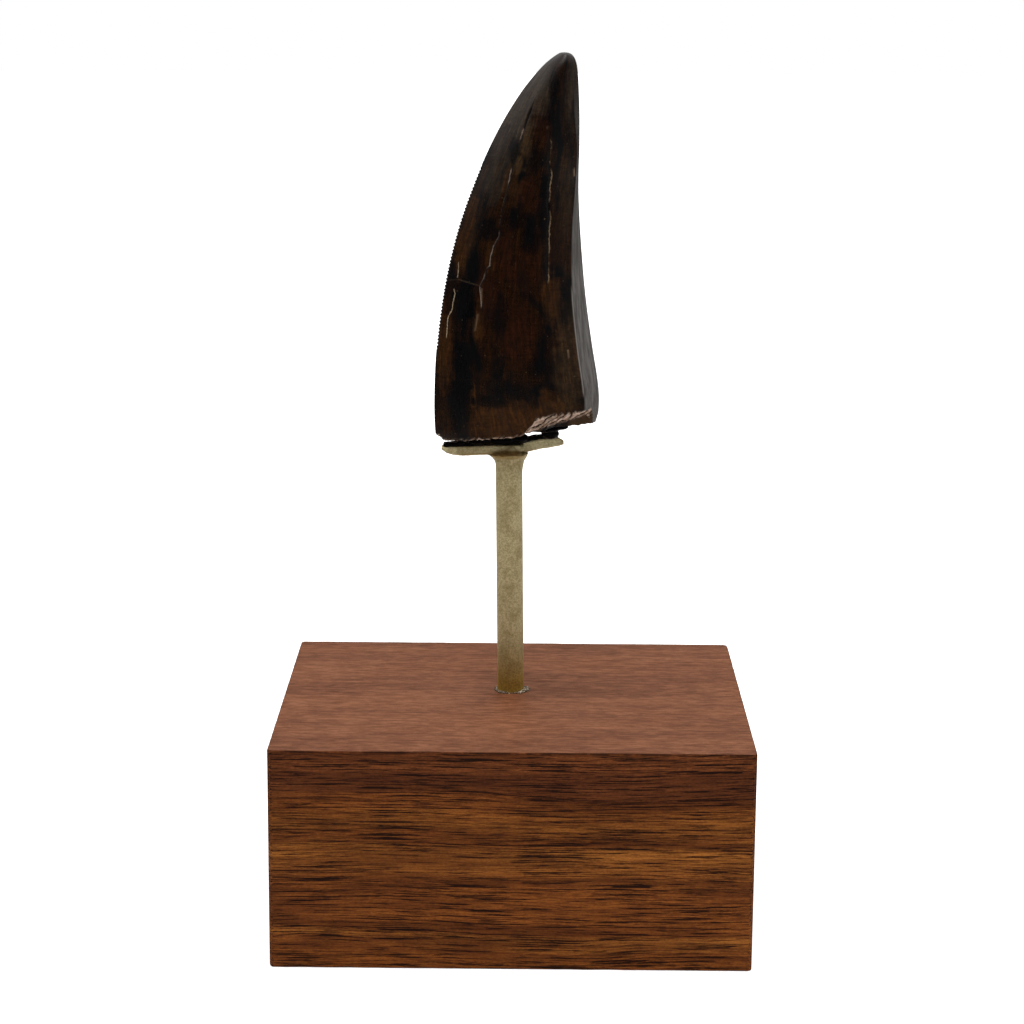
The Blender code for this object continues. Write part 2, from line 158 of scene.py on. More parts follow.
class StandSettings(bpy.types.PropertyGroup):
    """Sizes and colours of the block, the post, the bars and what holds them."""

    edge_radius: bpy.props.FloatProperty(
        name="Edge radius",
        description="How far the block's edges are eased",
        default=0.00035,
        unit="LENGTH",
    )
    corner_radius: bpy.props.FloatProperty(
        name="Corner radius",
        description="Radius of the block's four upright edges",
        default=0.0009,
        unit="LENGTH",
    )
    wood_pale: bpy.props.FloatVectorProperty(
        name="Pale wood",
        description="Colour of the lightest growth bands",
        default=(0.450, 0.152, 0.026),
        subtype="COLOR",
    )
    wood_mid: bpy.props.FloatVectorProperty(
        name="Main wood",
        description="Colour of most of the wood",
        default=(0.290, 0.083, 0.014),
        subtype="COLOR",
    )
    wood_dark: bpy.props.FloatVectorProperty(
        name="Dark wood",
        description="Colour of the darkest growth bands",
        default=(0.255, 0.073, 0.019),
        subtype="COLOR",
    )
    # The sanded top's own colour, lightened with painted sheen in place of its glossy reflection
    top_colour_and_sheen: bpy.props.FloatVectorProperty(
        name="Sanded top",
        description="Colour of the block's dusty sanded top",
        default=(0.288, 0.118, 0.058),
        subtype="COLOR",
    )
    pore_colour: bpy.props.FloatVectorProperty(
        name="Pores",
        description="Colour inside the open pores",
        default=(0.009, 0.002, 0.0008),
        subtype="COLOR",
    )
    rod_radius: bpy.props.FloatProperty(
        name="Rod radius",
        description="Radius of the round brass rod",
        default=0.00238,
        unit="LENGTH",
    )
    bar_width: bpy.props.FloatProperty(
        name="Bar width",
        description="Width of the square cradle bars",
        default=0.0024,
        unit="LENGTH",
    )
    brass_colour: bpy.props.FloatVectorProperty(
        name="Brass",
        description="Colour of the clean brass",
        default=(0.86, 0.79, 0.52),
        subtype="COLOR",
    )
    tarnish_colour: bpy.props.FloatVectorProperty(
        name="Tarnish",
        description="Colour of the tarnish in blotches and hollows",
        default=(0.54, 0.45, 0.25),
        subtype="COLOR",
    )
    bedding_colour: bpy.props.FloatVectorProperty(
        name="Bedding",
        description="Colour of the black setting compound",
        default=(0.0008, 0.0008, 0.0009),
        subtype="COLOR",
    )


class ToothSettings(bpy.types.PropertyGroup):
    """Sizes and colours of the fossil tooth."""

    denticle_pitch: bpy.props.FloatProperty(
        name="Denticle pitch",
        description="Length of one denticle along the serrated edge",
        default=0.00064,
        unit="LENGTH",
    )
    denticle_depth: bpy.props.FloatProperty(
        name="Denticle depth",
        description="How deep the cuts between the denticles are",
        default=0.00028,
        unit="LENGTH",
    )
    crack_depth: bpy.props.FloatProperty(
        name="Crack depth",
        description="Depth of the lengthwise cracks",
        default=0.00022,
        unit="LENGTH",
    )
    chip_height: bpy.props.FloatProperty(
        name="Chip height",
        description="How high the chip at the base reaches",
        default=0.0029,
        unit="LENGTH",
    )
    enamel_brown: bpy.props.FloatVectorProperty(
        name="Enamel brown",
        description="Main colour of the fossil enamel",
        default=(0.0215, 0.0084, 0.0027),
        subtype="COLOR",
    )
    enamel_black: bpy.props.FloatVectorProperty(
        name="Enamel black",
        description="Colour of the blue-black patches",
        default=(0.0018, 0.0020, 0.0026),
        subtype="COLOR",
    )
    enamel_amber: bpy.props.FloatVectorProperty(
        name="Enamel amber",
        description="Colour of the orange-brown patches",
        default=(0.068, 0.028, 0.0070),
        subtype="COLOR",
    )
    enamel_red: bpy.props.FloatVectorProperty(
        name="Enamel red",
        description="Colour of the reddish-brown patches",
        default=(0.033, 0.0100, 0.0034),
        subtype="COLOR",
    )
    enamel_olive: bpy.props.FloatVectorProperty(
        name="Enamel olive",
        description="Colour of the olive-brown patches",
        default=(0.062, 0.037, 0.0165),
        subtype="COLOR",
    )
    # Grey-brown towards the tip and up the left, partly painted sheen
    enamel_grey_and_sheen: bpy.props.FloatVectorProperty(
        name="Enamel grey",
        description="Colour of the grey-brown zones towards the tip",
        default=(0.050, 0.036, 0.023),
        subtype="COLOR",
    )
    dentine_colour: bpy.props.FloatVectorProperty(
        name="Dentine",
        description="Colour of the broken dentine at the base and along the cracks",
        default=(0.86, 0.66, 0.53),
        subtype="COLOR",
    )


class StageSettings(bpy.types.PropertyGroup):
    """The floor, the light and the camera."""

    floor_colour: bpy.props.FloatVectorProperty(
        name="Floor",
        description="Colour of the plain floor",
        default=(0.92, 0.92, 0.92),
        subtype="COLOR",
    )
    light_strength: bpy.props.FloatProperty(
        name="Light strength",
        description="Brightness of the pale surroundings",
        default=1.0,
    )
    lens: bpy.props.FloatProperty(
        name="Lens",
        description="Focal length of the camera in millimetres, on a 36 mm sensor",
        default=92.2,
    )


# Small helpers for the shader trees


def add_node(tree, kind, **settings):
    node = tree.nodes.new(kind)
    for key, value in settings.items():
        setattr(node, key, value)
    return node


def feed(tree, socket, value):
    """Links a socket to an output, or sets its value."""
    if isinstance(value, bpy.types.NodeSocket):
        tree.links.new(value, socket)
    elif hasattr(socket.default_value, "__len__") and hasattr(value, "__len__"):
        size = len(socket.default_value)
        socket.default_value = (*value, 1.0)[:size]
    else:
        socket.default_value = value


def calc(tree, operation, one, other=None, third=None, clamp=False):
    node = add_node(tree, "ShaderNodeMath", operation=operation, use_clamp=clamp)
    for socket, value in zip(node.inputs, (one, other, third)):
        if value is not None:
            feed(tree, socket, value)
    return node.outputs[0]


def vector_calc(tree, operation, one, other):
    node = add_node(tree, "ShaderNodeVectorMath", operation=operation)
    feed(tree, node.inputs[0], one)
    feed(tree, node.inputs[1], other)
    return node.outputs[0]


def remap(tree, value, low, high, to_low=0.0, to_high=1.0):
    """A smooth step of a value from one range to another."""
    node = add_node(tree, "ShaderNodeMapRange", interpolation_type="SMOOTHSTEP")
    for socket, entry in zip(node.inputs, (value, low, high, to_low, to_high)):
        feed(tree, socket, entry)
    return node.outputs[0]


def blend(tree, factor, one, other, mode="MIX"):
    node = add_node(tree, "ShaderNodeMix", data_type="RGBA", blend_type=mode)
    feed(tree, node.inputs[0], factor)
    feed(tree, node.inputs[6], one)
    feed(tree, node.inputs[7], other)
    return node.outputs[2]


def noise_value(tree, vector, scale, detail=3.0, roughness=0.55, distortion=0.0):
    node = add_node(tree, "ShaderNodeTexNoise")
    feed(tree, node.inputs["Vector"], vector)
    feed(tree, node.inputs["Scale"], scale)
    node.inputs["Detail"].default_value = detail
    node.inputs["Roughness"].default_value = roughness
    node.inputs["Distortion"].default_value = distortion
    return node.outputs["Fac"]


def stretched(tree, vector, scale, offset=(0, 0, 0)):
    node = add_node(tree, "ShaderNodeMapping")
    feed(tree, node.inputs["Vector"], vector)
    node.inputs["Scale"].default_value = scale
    node.inputs["Location"].default_value = offset
    return node.outputs[0]


def bump(tree, height, strength, distance, normal=None):
    node = add_node(tree, "ShaderNodeBump")
    feed(tree, node.inputs["Height"], height)
    node.inputs["Strength"].default_value = strength
    node.inputs["Distance"].default_value = distance
    if normal is not None:
        feed(tree, node.inputs["Normal"], normal)
    return node.outputs["Normal"]


def split(tree, vector):
    """The X, Y and Z outputs of a vector."""
    node = add_node(tree, "ShaderNodeSeparateXYZ")
    feed(tree, node.inputs[0], vector)
    return node.outputs


def stored(tree, name, output="Fac"):
    """A value or a vector stored on the mesh's points."""
    return add_node(tree, "ShaderNodeAttribute", attribute_name=name).outputs[output]


def tint(tree, mask, amount, colour, tone, mode="MIX"):
    """Blends a tone over a colour by some amount of a mask."""
    return blend(tree, calc(tree, "MULTIPLY", mask, amount), colour, tone, mode)


def millimetres(tree):
    """The place on the object, in millimetres."""
    place = add_node(tree, "ShaderNodeTexCoord").outputs["Object"]
    node = add_node(tree, "ShaderNodeVectorMath", operation="SCALE")
    feed(tree, node.inputs[0], place)
    node.inputs["Scale"].default_value = 1 / MM
    return node.outputs[0]


def new_group(name, inputs, outputs):
    """A shader node group with named sockets, returned with its input and output nodes."""
    tree = bpy.data.node_groups.new(name, "ShaderNodeTree")
    for label, kind, default in inputs:
        socket = tree.interface.new_socket(label, in_out="INPUT", socket_type=f"NodeSocket{kind}")
        if default is not None:
            socket.default_value = default
    for label, kind in outputs:
        tree.interface.new_socket(label, in_out="OUTPUT", socket_type=f"NodeSocket{kind}")
    return tree, add_node(tree, "NodeGroupInput"), add_node(tree, "NodeGroupOutput")


def place_group(tree, name, **values):
    node = add_node(tree, "ShaderNodeGroup")
    node.node_tree = bpy.data.node_groups[name]
    for label, value in values.items():
        feed(tree, node.inputs[label.replace("_", " ").capitalize()], value)
    return node.outputs


def make_streak_group():
    """Fine streaks along one direction: fibres in wood, growth lines in enamel, draw marks on a rod."""
    tree, start, end = new_group(
        "Streaks",
        (
            ("Place", "Vector", None),
            ("Fineness", "Float", 4.0),
            ("Low", "Float", 0.45),
            ("High", "Float", 0.65),
        ),
        (("Mask", "Float"), ("Height", "Float")),
    )
    fine = noise_value(tree, start.outputs["Place"], start.outputs["Fineness"], detail=4.0, roughness=0.65)
    mask = remap(tree, fine, start.outputs["Low"], start.outputs["High"])
    feed(tree, end.inputs["Mask"], mask)
    feed(tree, end.inputs["Height"], fine)


def make_patch_group():
    """A soft patch on the front view's plane, round a centre; wander makes its edge stray."""
    tree, start, end = new_group(
        "Patch",
        (
            ("Place", "Vector", None),
            ("Centre", "Vector", None),
            ("Spread", "Vector", (1, 1, 1)),
            ("Wander", "Float", 0.5),
        ),
        (("Mask", "Float"),),
    )
    away = vector_calc(tree, "SUBTRACT", start.outputs["Place"], start.outputs["Centre"])
    scaled = vector_calc(tree, "DIVIDE", away, start.outputs["Spread"])
    length = add_node(tree, "ShaderNodeVectorMath", operation="LENGTH")
    feed(tree, length.inputs[0], scaled)
    reach = calc(tree, "ADD", start.outputs["Wander"], length.outputs["Value"])
    feed(tree, end.inputs["Mask"], remap(tree, reach, 1.48, 0.56))


def make_crack_group():
    """A ragged crack: its distance to each side, with small zigzags, and how its edge breaks into dashes."""
    tree, start, end = new_group(
        "Ragged crack",
        (
            ("Grown", "Vector", None),
            ("Offset", "Float", 0.0),
            ("Seed", "Float", 0.0),
            ("Jag", "Float", 0.2),
        ),
        (("Aside", "Float"), ("Dashes", "Float"), ("Thickness", "Float")),
    )
    parts = split(tree, start.outputs["Grown"])
    line = add_node(tree, "ShaderNodeCombineXYZ")
    feed(tree, line.inputs["X"], start.outputs["Seed"])
    feed(tree, line.inputs["Y"], parts["Y"])
    zigzag = noise_value(tree, line.outputs[0], 1.1, detail=6.0, roughness=0.8)
    stray = calc(tree, "MULTIPLY", calc(tree, "SUBTRACT", zigzag, 0.5), start.outputs["Jag"])
    feed(tree, end.inputs["Aside"], calc(tree, "ADD", start.outputs["Offset"], stray))
    shifted = vector_calc(tree, "ADD", line.outputs[0], (17.0, 0.0, 0.0))
    feed(tree, end.inputs["Dashes"], noise_value(tree, shifted, 0.9, detail=5.0, roughness=0.75))
    shifted = vector_calc(tree, "ADD", line.outputs[0], (29.0, 0.0, 0.0))
    uneven = noise_value(tree, shifted, 2.0, detail=4.0, roughness=0.7)
    feed(tree, end.inputs["Thickness"], remap(tree, uneven, 0.34, 0.66, 0.45, 1.35))


def make_blotch_group():
    """Cloudy blotches at two scales, for tarnish, stains and handling marks."""
    tree, start, end = new_group(
        "Blotches",
        (("Place", "Vector", None), ("Size", "Float", 1.0), ("Low", "Float", 0.45), ("High", "Float", 0.6)),
        (("Mask", "Float"), ("Height", "Float")),
    )
    frequency = calc(tree, "DIVIDE", 1.0, start.outputs["Size"])
    broad = noise_value(tree, start.outputs["Place"], frequency, detail=5.0, roughness=0.6, distortion=0.4)
    feed(tree, end.inputs["Mask"], remap(tree, broad, start.outputs["Low"], start.outputs["High"]))
    feed(tree, end.inputs["Height"], broad)


def new_material(name):
    material = bpy.data.materials.new(name)
    material.use_nodes = True
    tree = material.node_tree
    return material, tree, tree.nodes["Principled BSDF"]


# Growth zones up the block: (share of the height, tone)
WOOD_ZONES = (
    (0.00, "mid"),
    (0.09, "mid"),
    (0.14, "pale"),
    (0.19, "mid"),
    (0.38, "mid"),
    (0.54, "pale"),
    (0.60, "mid"),
    (0.67, "pale"),
    (0.76, "mid"),
    (0.82, "dark"),
    (1.00, "dark"),
)


def wood_material(settings):
    """Reddish-brown hardwood: growth zones, fibres, and open pores drawn out along the grain; its top is
    lightened with painted sheen.
    """
    material, tree, shader = new_material("Open-pored hardwood")
    place = millimetres(tree)
    wander = noise_value(tree, stretched(tree, place, (0.018, 0.05, 0.05)), 1.0, detail=2.0)
    shift = add_node(tree, "ShaderNodeCombineXYZ")
    feed(tree, shift.inputs["Z"], calc(tree, "MULTIPLY_ADD", wander, 3.0, -1.5))
    grown = vector_calc(tree, "ADD", place, shift.outputs[0])
    parts = split(tree, grown)

    bands = noise_value(tree, stretched(tree, grown, (0.012, 0.07, 0.42)), 1.0, detail=4.0, roughness=0.65)
    height = (BLOCK_HIGH.z - BLOCK_LOW.z) / MM
    level = calc(tree, "MULTIPLY_ADD", bands, 0.26, -0.13)
    level = calc(tree, "ADD", level, calc(tree, "DIVIDE", parts["Z"], height))
    ramp = add_node(tree, "ShaderNodeValToRGB")
    tones = {"dark": settings.wood_dark, "mid": settings.wood_mid, "pale": settings.wood_pale}
    stops = ramp.color_ramp.elements
    stops.remove(stops[1])
    for place_up, tone in WOOD_ZONES:
        stop = stops[0] if place_up == 0 else stops.new(place_up)
        stop.color = (*tones[tone], 1)
    feed(tree, ramp.inputs[0], level)

    fibres = place_group(
        tree, "Streaks", place=stretched(tree, grown, (0.10, 2.6, 2.6)), fineness=1.0, low=0.38, high=0.62
    )
    colour = blend(tree, fibres["Mask"], ramp.outputs[0], (0.66, 0.62, 0.62), "MULTIPLY")
    speck = noise_value(tree, stretched(tree, place, (2.2, 5.5, 5.5)), 1.0, detail=2.0)
    colour = blend(tree, remap(tree, speck, 0.35, 0.65), colour, (0.74, 0.72, 0.70), "MULTIPLY")
    broad = noise_value(
        tree, stretched(tree, grown, (0.018, 0.10, 0.30), (1, 7, 3)), 1.0, detail=4.0, roughness=0.65
    )
    colour = blend(tree, remap(tree, broad, 0.36, 0.64), colour, (0.62, 0.58, 0.56), "MULTIPLY")
    colour = blend(tree, remap(tree, broad, 0.60, 0.38), colour, (1.22, 1.26, 1.28), "MULTIPLY")

    cluster = noise_value(tree, stretched(tree, grown, (0.05, 0.12, 0.5), (3, 8, 1)), 1.0, detail=2.0)
    reach = calc(tree, "MULTIPLY_ADD", cluster, -0.16, 0.08)
    long_pores = place_group(
        tree,
        "Streaks",
        place=stretched(tree, grown, (0.075, 3.4, 3.4)),
        fineness=1.0,
        low=calc(tree, "ADD", reach, 0.532),
        high=calc(tree, "ADD", reach, 0.562),
    )
    short_pores = place_group(
        tree,
        "Streaks",
        place=stretched(tree, grown, (0.17, 7.0, 7.0), (9, 4, 2)),
        fineness=1.0,
        low=calc(tree, "ADD", reach, 0.535),
        high=calc(tree, "ADD", reach, 0.585),
    )
    pores = calc(tree, "MAXIMUM", long_pores["Mask"], calc(tree, "MULTIPLY", short_pores["Mask"], 0.75))
    up = split(tree, place)
    topside = remap(tree, up["Z"], height - 0.16, height - 0.03)
    arris = remap(tree, up["Z"], height - 0.70, height - 0.25)
    dashes = noise_value(tree, stretched(tree, place, (0.16, 0.16, 0.0)), 1.0, detail=4.0, roughness=0.7)
    arris = calc(tree, "MULTIPLY", arris, remap(tree, dashes, 0.42, 0.56))
    pores = calc(tree, "MAXIMUM", pores, calc(tree, "MULTIPLY", arris, 0.8))
    pores = calc(tree, "MULTIPLY", pores, calc(tree, "MULTIPLY_ADD", topside, -0.65, 1.0))
    facing = split(tree, add_node(tree, "ShaderNodeTexCoord").outputs["Normal"])
    end_grain = remap(tree, calc(tree, "ABSOLUTE", facing["X"]), 0.6, 0.9)
    pores = calc(tree, "MULTIPLY", pores, calc(tree, "MULTIPLY_ADD", end_grain, -0.5, 1.0))
    even = blend(tree, remap(tree, bands, 0.35, 0.65), settings.wood_dark, settings.wood_mid)
    even = blend(tree, 1.0, even, (0.68, 0.62, 0.60), "MULTIPLY")
    colour = tint(tree, end_grain, 0.6, colour, even)
    colour = tint(tree, pores, 0.95, colour, settings.pore_colour)
    grain = noise_value(
        tree, stretched(tree, grown, (0.30, 1.1, 4.0), (2, 5, 6)), 1.0, detail=6.0, roughness=0.75
    )
    # The top face: sanded grain and filled pores, lightened with painted sheen
    sanded_and_sheen = blend(
        tree, remap(tree, grain, 0.38, 0.60), settings.top_colour_and_sheen, (0.56, 0.52, 0.50), "MULTIPLY"
    )
    sanded_and_sheen = blend(tree, remap(tree, speck, 0.40, 0.62), sanded_and_sheen, (1.14, 1.16, 1.18), "MULTIPLY")
    sanded_and_sheen = blend(tree, remap(tree, broad, 0.42, 0.62), sanded_and_sheen, (0.86, 0.82, 0.80), "MULTIPLY")
    sanded_and_sheen = tint(tree, long_pores["Mask"], 0.7, sanded_and_sheen, (0.55, 0.44, 0.40), "MULTIPLY")
    colour = tint(tree, topside, 0.72, colour, sanded_and_sheen)
    feed(tree, shader.inputs["Base Color"], colour)

    relief = calc(tree, "MULTIPLY_ADD", pores, -1.0, calc(tree, "MULTIPLY", fibres["Height"], 0.2))
    feed(tree, shader.inputs["Normal"], bump(tree, relief, 0.4, 0.00010))
    feed(tree, shader.inputs["Roughness"], calc(tree, "MULTIPLY_ADD", pores, 0.25, 0.46))
    shader.inputs["Specular IOR Level"].default_value = 0.09
    return material


# Golden-brown burnt flux and painted shade under the bars, in millimetres on the front view: (centre x and z,
# half sizes)
FLUX_AND_SHADE_UNDER_BARS = (
    ((-6.0, 82.45), (3.8, 0.28)),
    ((-1.2, 82.90), (3.0, 0.35)),
    ((-1.2, 82.35), (2.6, 0.42)),
)


def brass_material(settings, name, patina, roughness):
    """Dull brass: fine mottling, soft tarnish blotches and draw marks, with painted shade under the bars and
    a painted reflection of the block near the foot.
    """
    material, tree, shader = new_material(name)
    place = millimetres(tree)
    mottle = place_group(tree, "Blotches", place=place, size=0.30, low=0.42, high=0.60)
    cloud = place_group(tree, "Blotches", place=place, size=3.2, low=0.42, high=0.66)
    draw = place_group(
        tree, "Streaks", place=stretched(tree, place, (3.0, 3.0, 0.5)), fineness=1.2, low=0.35, high=0.75
    )
    colour = tint(tree, mottle["Mask"], 0.42 * patina, settings.brass_colour, settings.tarnish_colour)
    colour = tint(tree, cloud["Mask"], 0.45 * patina, colour, settings.tarnish_colour)
    colour = tint(tree, draw["Mask"], 0.12, colour, settings.tarnish_colour)
    parts = split(tree, place)
    flat = vector_calc(tree, "MULTIPLY", place, (1, 0, 1))
    wander = calc(tree, "MULTIPLY_ADD", mottle["Height"], 1.6, -0.8)
    # Flux patches, darkened as painted shade where the bars overhang the rod
    for centre, spread in FLUX_AND_SHADE_UNDER_BARS:
        flux_and_shade = place_group(
            tree,
            "Patch",
            place=flat,
            centre=(centre[0], 0, centre[1]),
            spread=(spread[0], 1, spread[1]),
            wander=wander,
        )
        colour = tint(tree, flux_and_shade["Mask"], 0.70, colour, (0.56, 0.42, 0.17))
    # Painted reflection of the brown block: the rod is darker and warmer over its lowest 12 mm
    foot = BLOCK_HIGH.z / MM
    colour = blend(tree, remap(tree, parts["Z"], foot + 12, foot), colour, (0.62, 0.45, 0.16), "MULTIPLY")
    feed(tree, shader.inputs["Base Color"], colour)
    shader.inputs["Metallic"].default_value = 1.0
    dull = calc(tree, "MULTIPLY_ADD", mottle["Mask"], 0.10, roughness)
    feed(tree, shader.inputs["Roughness"], calc(tree, "MULTIPLY_ADD", cloud["Mask"], 0.08, dull))
    relief = calc(tree, "MULTIPLY_ADD", draw["Height"], 0.5, mottle["Height"])
    feed(tree, shader.inputs["Normal"], bump(tree, relief, 0.5, 0.00004))
    return material


def bedding_material(settings):
    """Black setting compound, semi-matt, with a few grey smears of dust."""
    material, tree, shader = new_material("Black setting compound")
    place = millimetres(tree)
    smear = place_group(tree, "Blotches", place=place, size=1.1, low=0.62, high=0.72)
    colour = tint(tree, smear["Mask"], 0.30, settings.bedding_colour, (0.05, 0.045, 0.02))
    feed(tree, shader.inputs["Base Color"], colour)
    feed(tree, shader.inputs["Roughness"], calc(tree, "MULTIPLY_ADD", smear["Mask"], 0.3, 0.45))
    feed(tree, shader.inputs["Normal"], bump(tree, smear["Height"], 0.4, 0.0001))
    shader.inputs["Specular IOR Level"].default_value = 0.06
    return material


def glue_material():
    """Set clear brown glue with small bubbles, and pale flecks painted in as glints."""
    material, tree, shader = new_material("Clear glue")
    place = millimetres(tree)
    glint_flecks = place_group(tree, "Blotches", place=place, size=0.30, low=0.54, high=0.62)
    # Pale flecks in the glue's colour are painted glints
    feed(
        tree,
        shader.inputs["Base Color"],
        blend(tree, glint_flecks["Mask"], (0.110, 0.066, 0.034), (0.72, 0.58, 0.42)),
    )
    feed(tree, shader.inputs["Roughness"], calc(tree, "MULTIPLY_ADD", glint_flecks["Mask"], 0.25, 0.14))
    feed(tree, shader.inputs["Normal"], bump(tree, glint_flecks["Height"], 0.6, 0.0001))
    shader.inputs["Transmission Weight"].default_value = 0.25
    shader.inputs["Specular IOR Level"].default_value = 0.2
    shader.inputs["IOR"].default_value = 1.48
    return material


# Stains on the enamel, in millimetres on the front view: (tone, centre x and z, half sizes, amount); the grey
# ones are partly painted sheen
ENAMEL_STAINS = (
    ("red", (0.3, 105.0), (3.0, 5.5), 0.85),
    ("red", (-4.9, 112.0), (2.2, 5.0), 0.75),
    ("red", (4.2, 140.0), (1.6, 2.8), 0.50),
    ("red", (2.1, 128.6), (2.2, 2.8), 0.70),
    ("red", (-2.2, 119.5), (1.6, 3.2), 0.80),
    ("red", (1.5, 116.5), (3.6, 3.4), 0.60),
    ("olive", (9.4, 99.0), (2.3, 12.0), 0.62),
    ("amber", (6.3, 110.8), (1.8, 3.6), 0.75),
    ("olive", (8.5, 129.0), (1.1, 7.0), 0.35),
    ("olive", (1.6, 138.0), (0.9, 3.8), 0.80),
    ("olive", (0.1, 134.2), (1.0, 1.9), 0.85),
    ("grey", (3.4, 147.0), (2.2, 4.6), 0.85),
    ("grey", (0.2, 142.0), (1.9, 4.6), 0.85),
    ("grey", (-2.6, 136.0), (1.7, 4.2), 0.60),
    ("grey", (-4.2, 130.6), (2.0, 2.8), 0.55),
    ("grey", (9.6, 146.0), (1.0, 6.0), 0.80),
    ("amber", (-1.2, 89.4), (8.8, 3.3), 0.90),
    ("amber", (5.8, 91.4), (1.8, 3.0), 0.50),
    ("amber", (-0.9, 130.6), (1.4, 2.6), 0.50),
    ("amber", (-4.7, 118.4), (0.8, 3.0), 0.45),
    ("amber", (-12.6, 101.0), (1.3, 6.0), 0.70),
    ("amber", (-9.6, 118.5), (1.4, 3.2), 0.65),
    ("amber", (-8.3, 124.0), (1.2, 5.5), 0.48),
    ("amber", (4.8, 92.8), (0.7, 2.4), 0.70),
    ("amber", (-7.4, 92.5), (0.6, 3.0), 0.70),
    ("amber", (-6.7, 107.0), (0.8, 3.4), 0.65),
    ("black", (-7.6, 116.0), (1.1, 3.0), 1.00),
    ("black", (-9.0, 109.8), (1.8, 3.9), 1.00),
    ("black", (-9.5, 99.4), (1.6, 5.2), 0.97),
    ("black", (-9.7, 91.6), (2.0, 5.2), 0.95),
    ("black", (-4.2, 93.0), (2.8, 1.1), 0.80),
    ("black", (-1.5, 95.4), (2.1, 1.2), 0.65),
    ("black", (4.3, 99.2), (2.2, 1.5), 0.60),
    ("black", (8.5, 110.0), (1.1, 3.6), 0.70),
    ("black", (-2.6, 108.0), (1.3, 3.2), 0.50),
    ("black", (6.3, 146.8), (0.8, 3.0), 0.85),
    ("black", (8.6, 139.6), (0.7, 2.0), 0.50),
    ("black", (9.7, 142.6), (0.5, 2.0), 0.75),
    ("black", (-0.6, 136.4), (0.8, 2.2), 0.80),
    ("black", (4.7, 131.0), (0.8, 3.2), 1.00),
    ("black", (4.8, 124.8), (1.0, 4.0), 0.90),
    ("black", (0.6, 124.4), (3.0, 1.5), 0.60),
    ("black", (-4.9, 122.8), (2.0, 2.0), 0.85),
    ("black", (2.6, 121.0), (2.0, 2.2), 0.70),
    ("black", (3.4, 134.8), (1.5, 2.0), 0.60),
)


# Cracks: (attribute, seed, zigzag, centre and half width of the pale line and of the dark one, which is the
# gap with painted shadow beside it, pale tone)
ENAMEL_CRACKS = (
    ("mesial_crack", 3.0, 0.55, (0.00, 0.15), (0.16, 0.16), (0.50, 0.38, 0.25)),
    ("middle_crack", 8.0, 0.50, (-0.10, 0.15), (0.06, 0.19), (0.24, 0.175, 0.14)),
    ("distal_crack", 5.0, 0.60, (0.04, 0.15), (-0.26, 0.32), (0.25, 0.165, 0.095)),
)


def stroke(tree, crack, line):
    """1 on a line at some distance beside a crack, fading to 0 across its half width."""
    centre, half_width = line
    away = calc(tree, "ABSOLUTE", calc(tree, "SUBTRACT", crack["Aside"], centre))
    reach = calc(tree, "MULTIPLY", crack["Thickness"], half_width)
    return remap(tree, away, reach, calc(tree, "MULTIPLY", reach, 0.35))


def add_crack(tree, crack_line, grown, gap_and_shadow, colour):
    """Draws a crack's dark gap with painted shadow, then its pale broken edge; returns the sum of the gaps
    and shadows and the new colour.
    """
    name, seed, jag, pale_line, gap_and_shadow_line, tone = crack_line
    parts = split(tree, stored(tree, name, "Vector"))
    crack = place_group(tree, "Ragged crack", grown=grown, offset=parts["X"], seed=seed, jag=jag)
    open_part = remap(tree, calc(tree, "ADD", crack["Dashes"], parts["Z"]), 0.55, 1.0)
    dark = calc(tree, "MULTIPLY", stroke(tree, crack, gap_and_shadow_line), open_part)
    edge_part = remap(tree, calc(tree, "ADD", crack["Dashes"], parts["Y"]), 0.75, 1.35)
    pale = calc(tree, "MULTIPLY", stroke(tree, crack, pale_line), edge_part)
    # The dark stroke is the crack's gap with painted shadow beside its step
    colour = blend(tree, dark, colour, (0.0012, 0.001, 0.001))
    colour = blend(tree, pale, colour, tone)
    gap_and_shadow = dark if gap_and_shadow is None else calc(tree, "MAXIMUM", gap_and_shadow, dark)
    return gap_and_shadow, colour


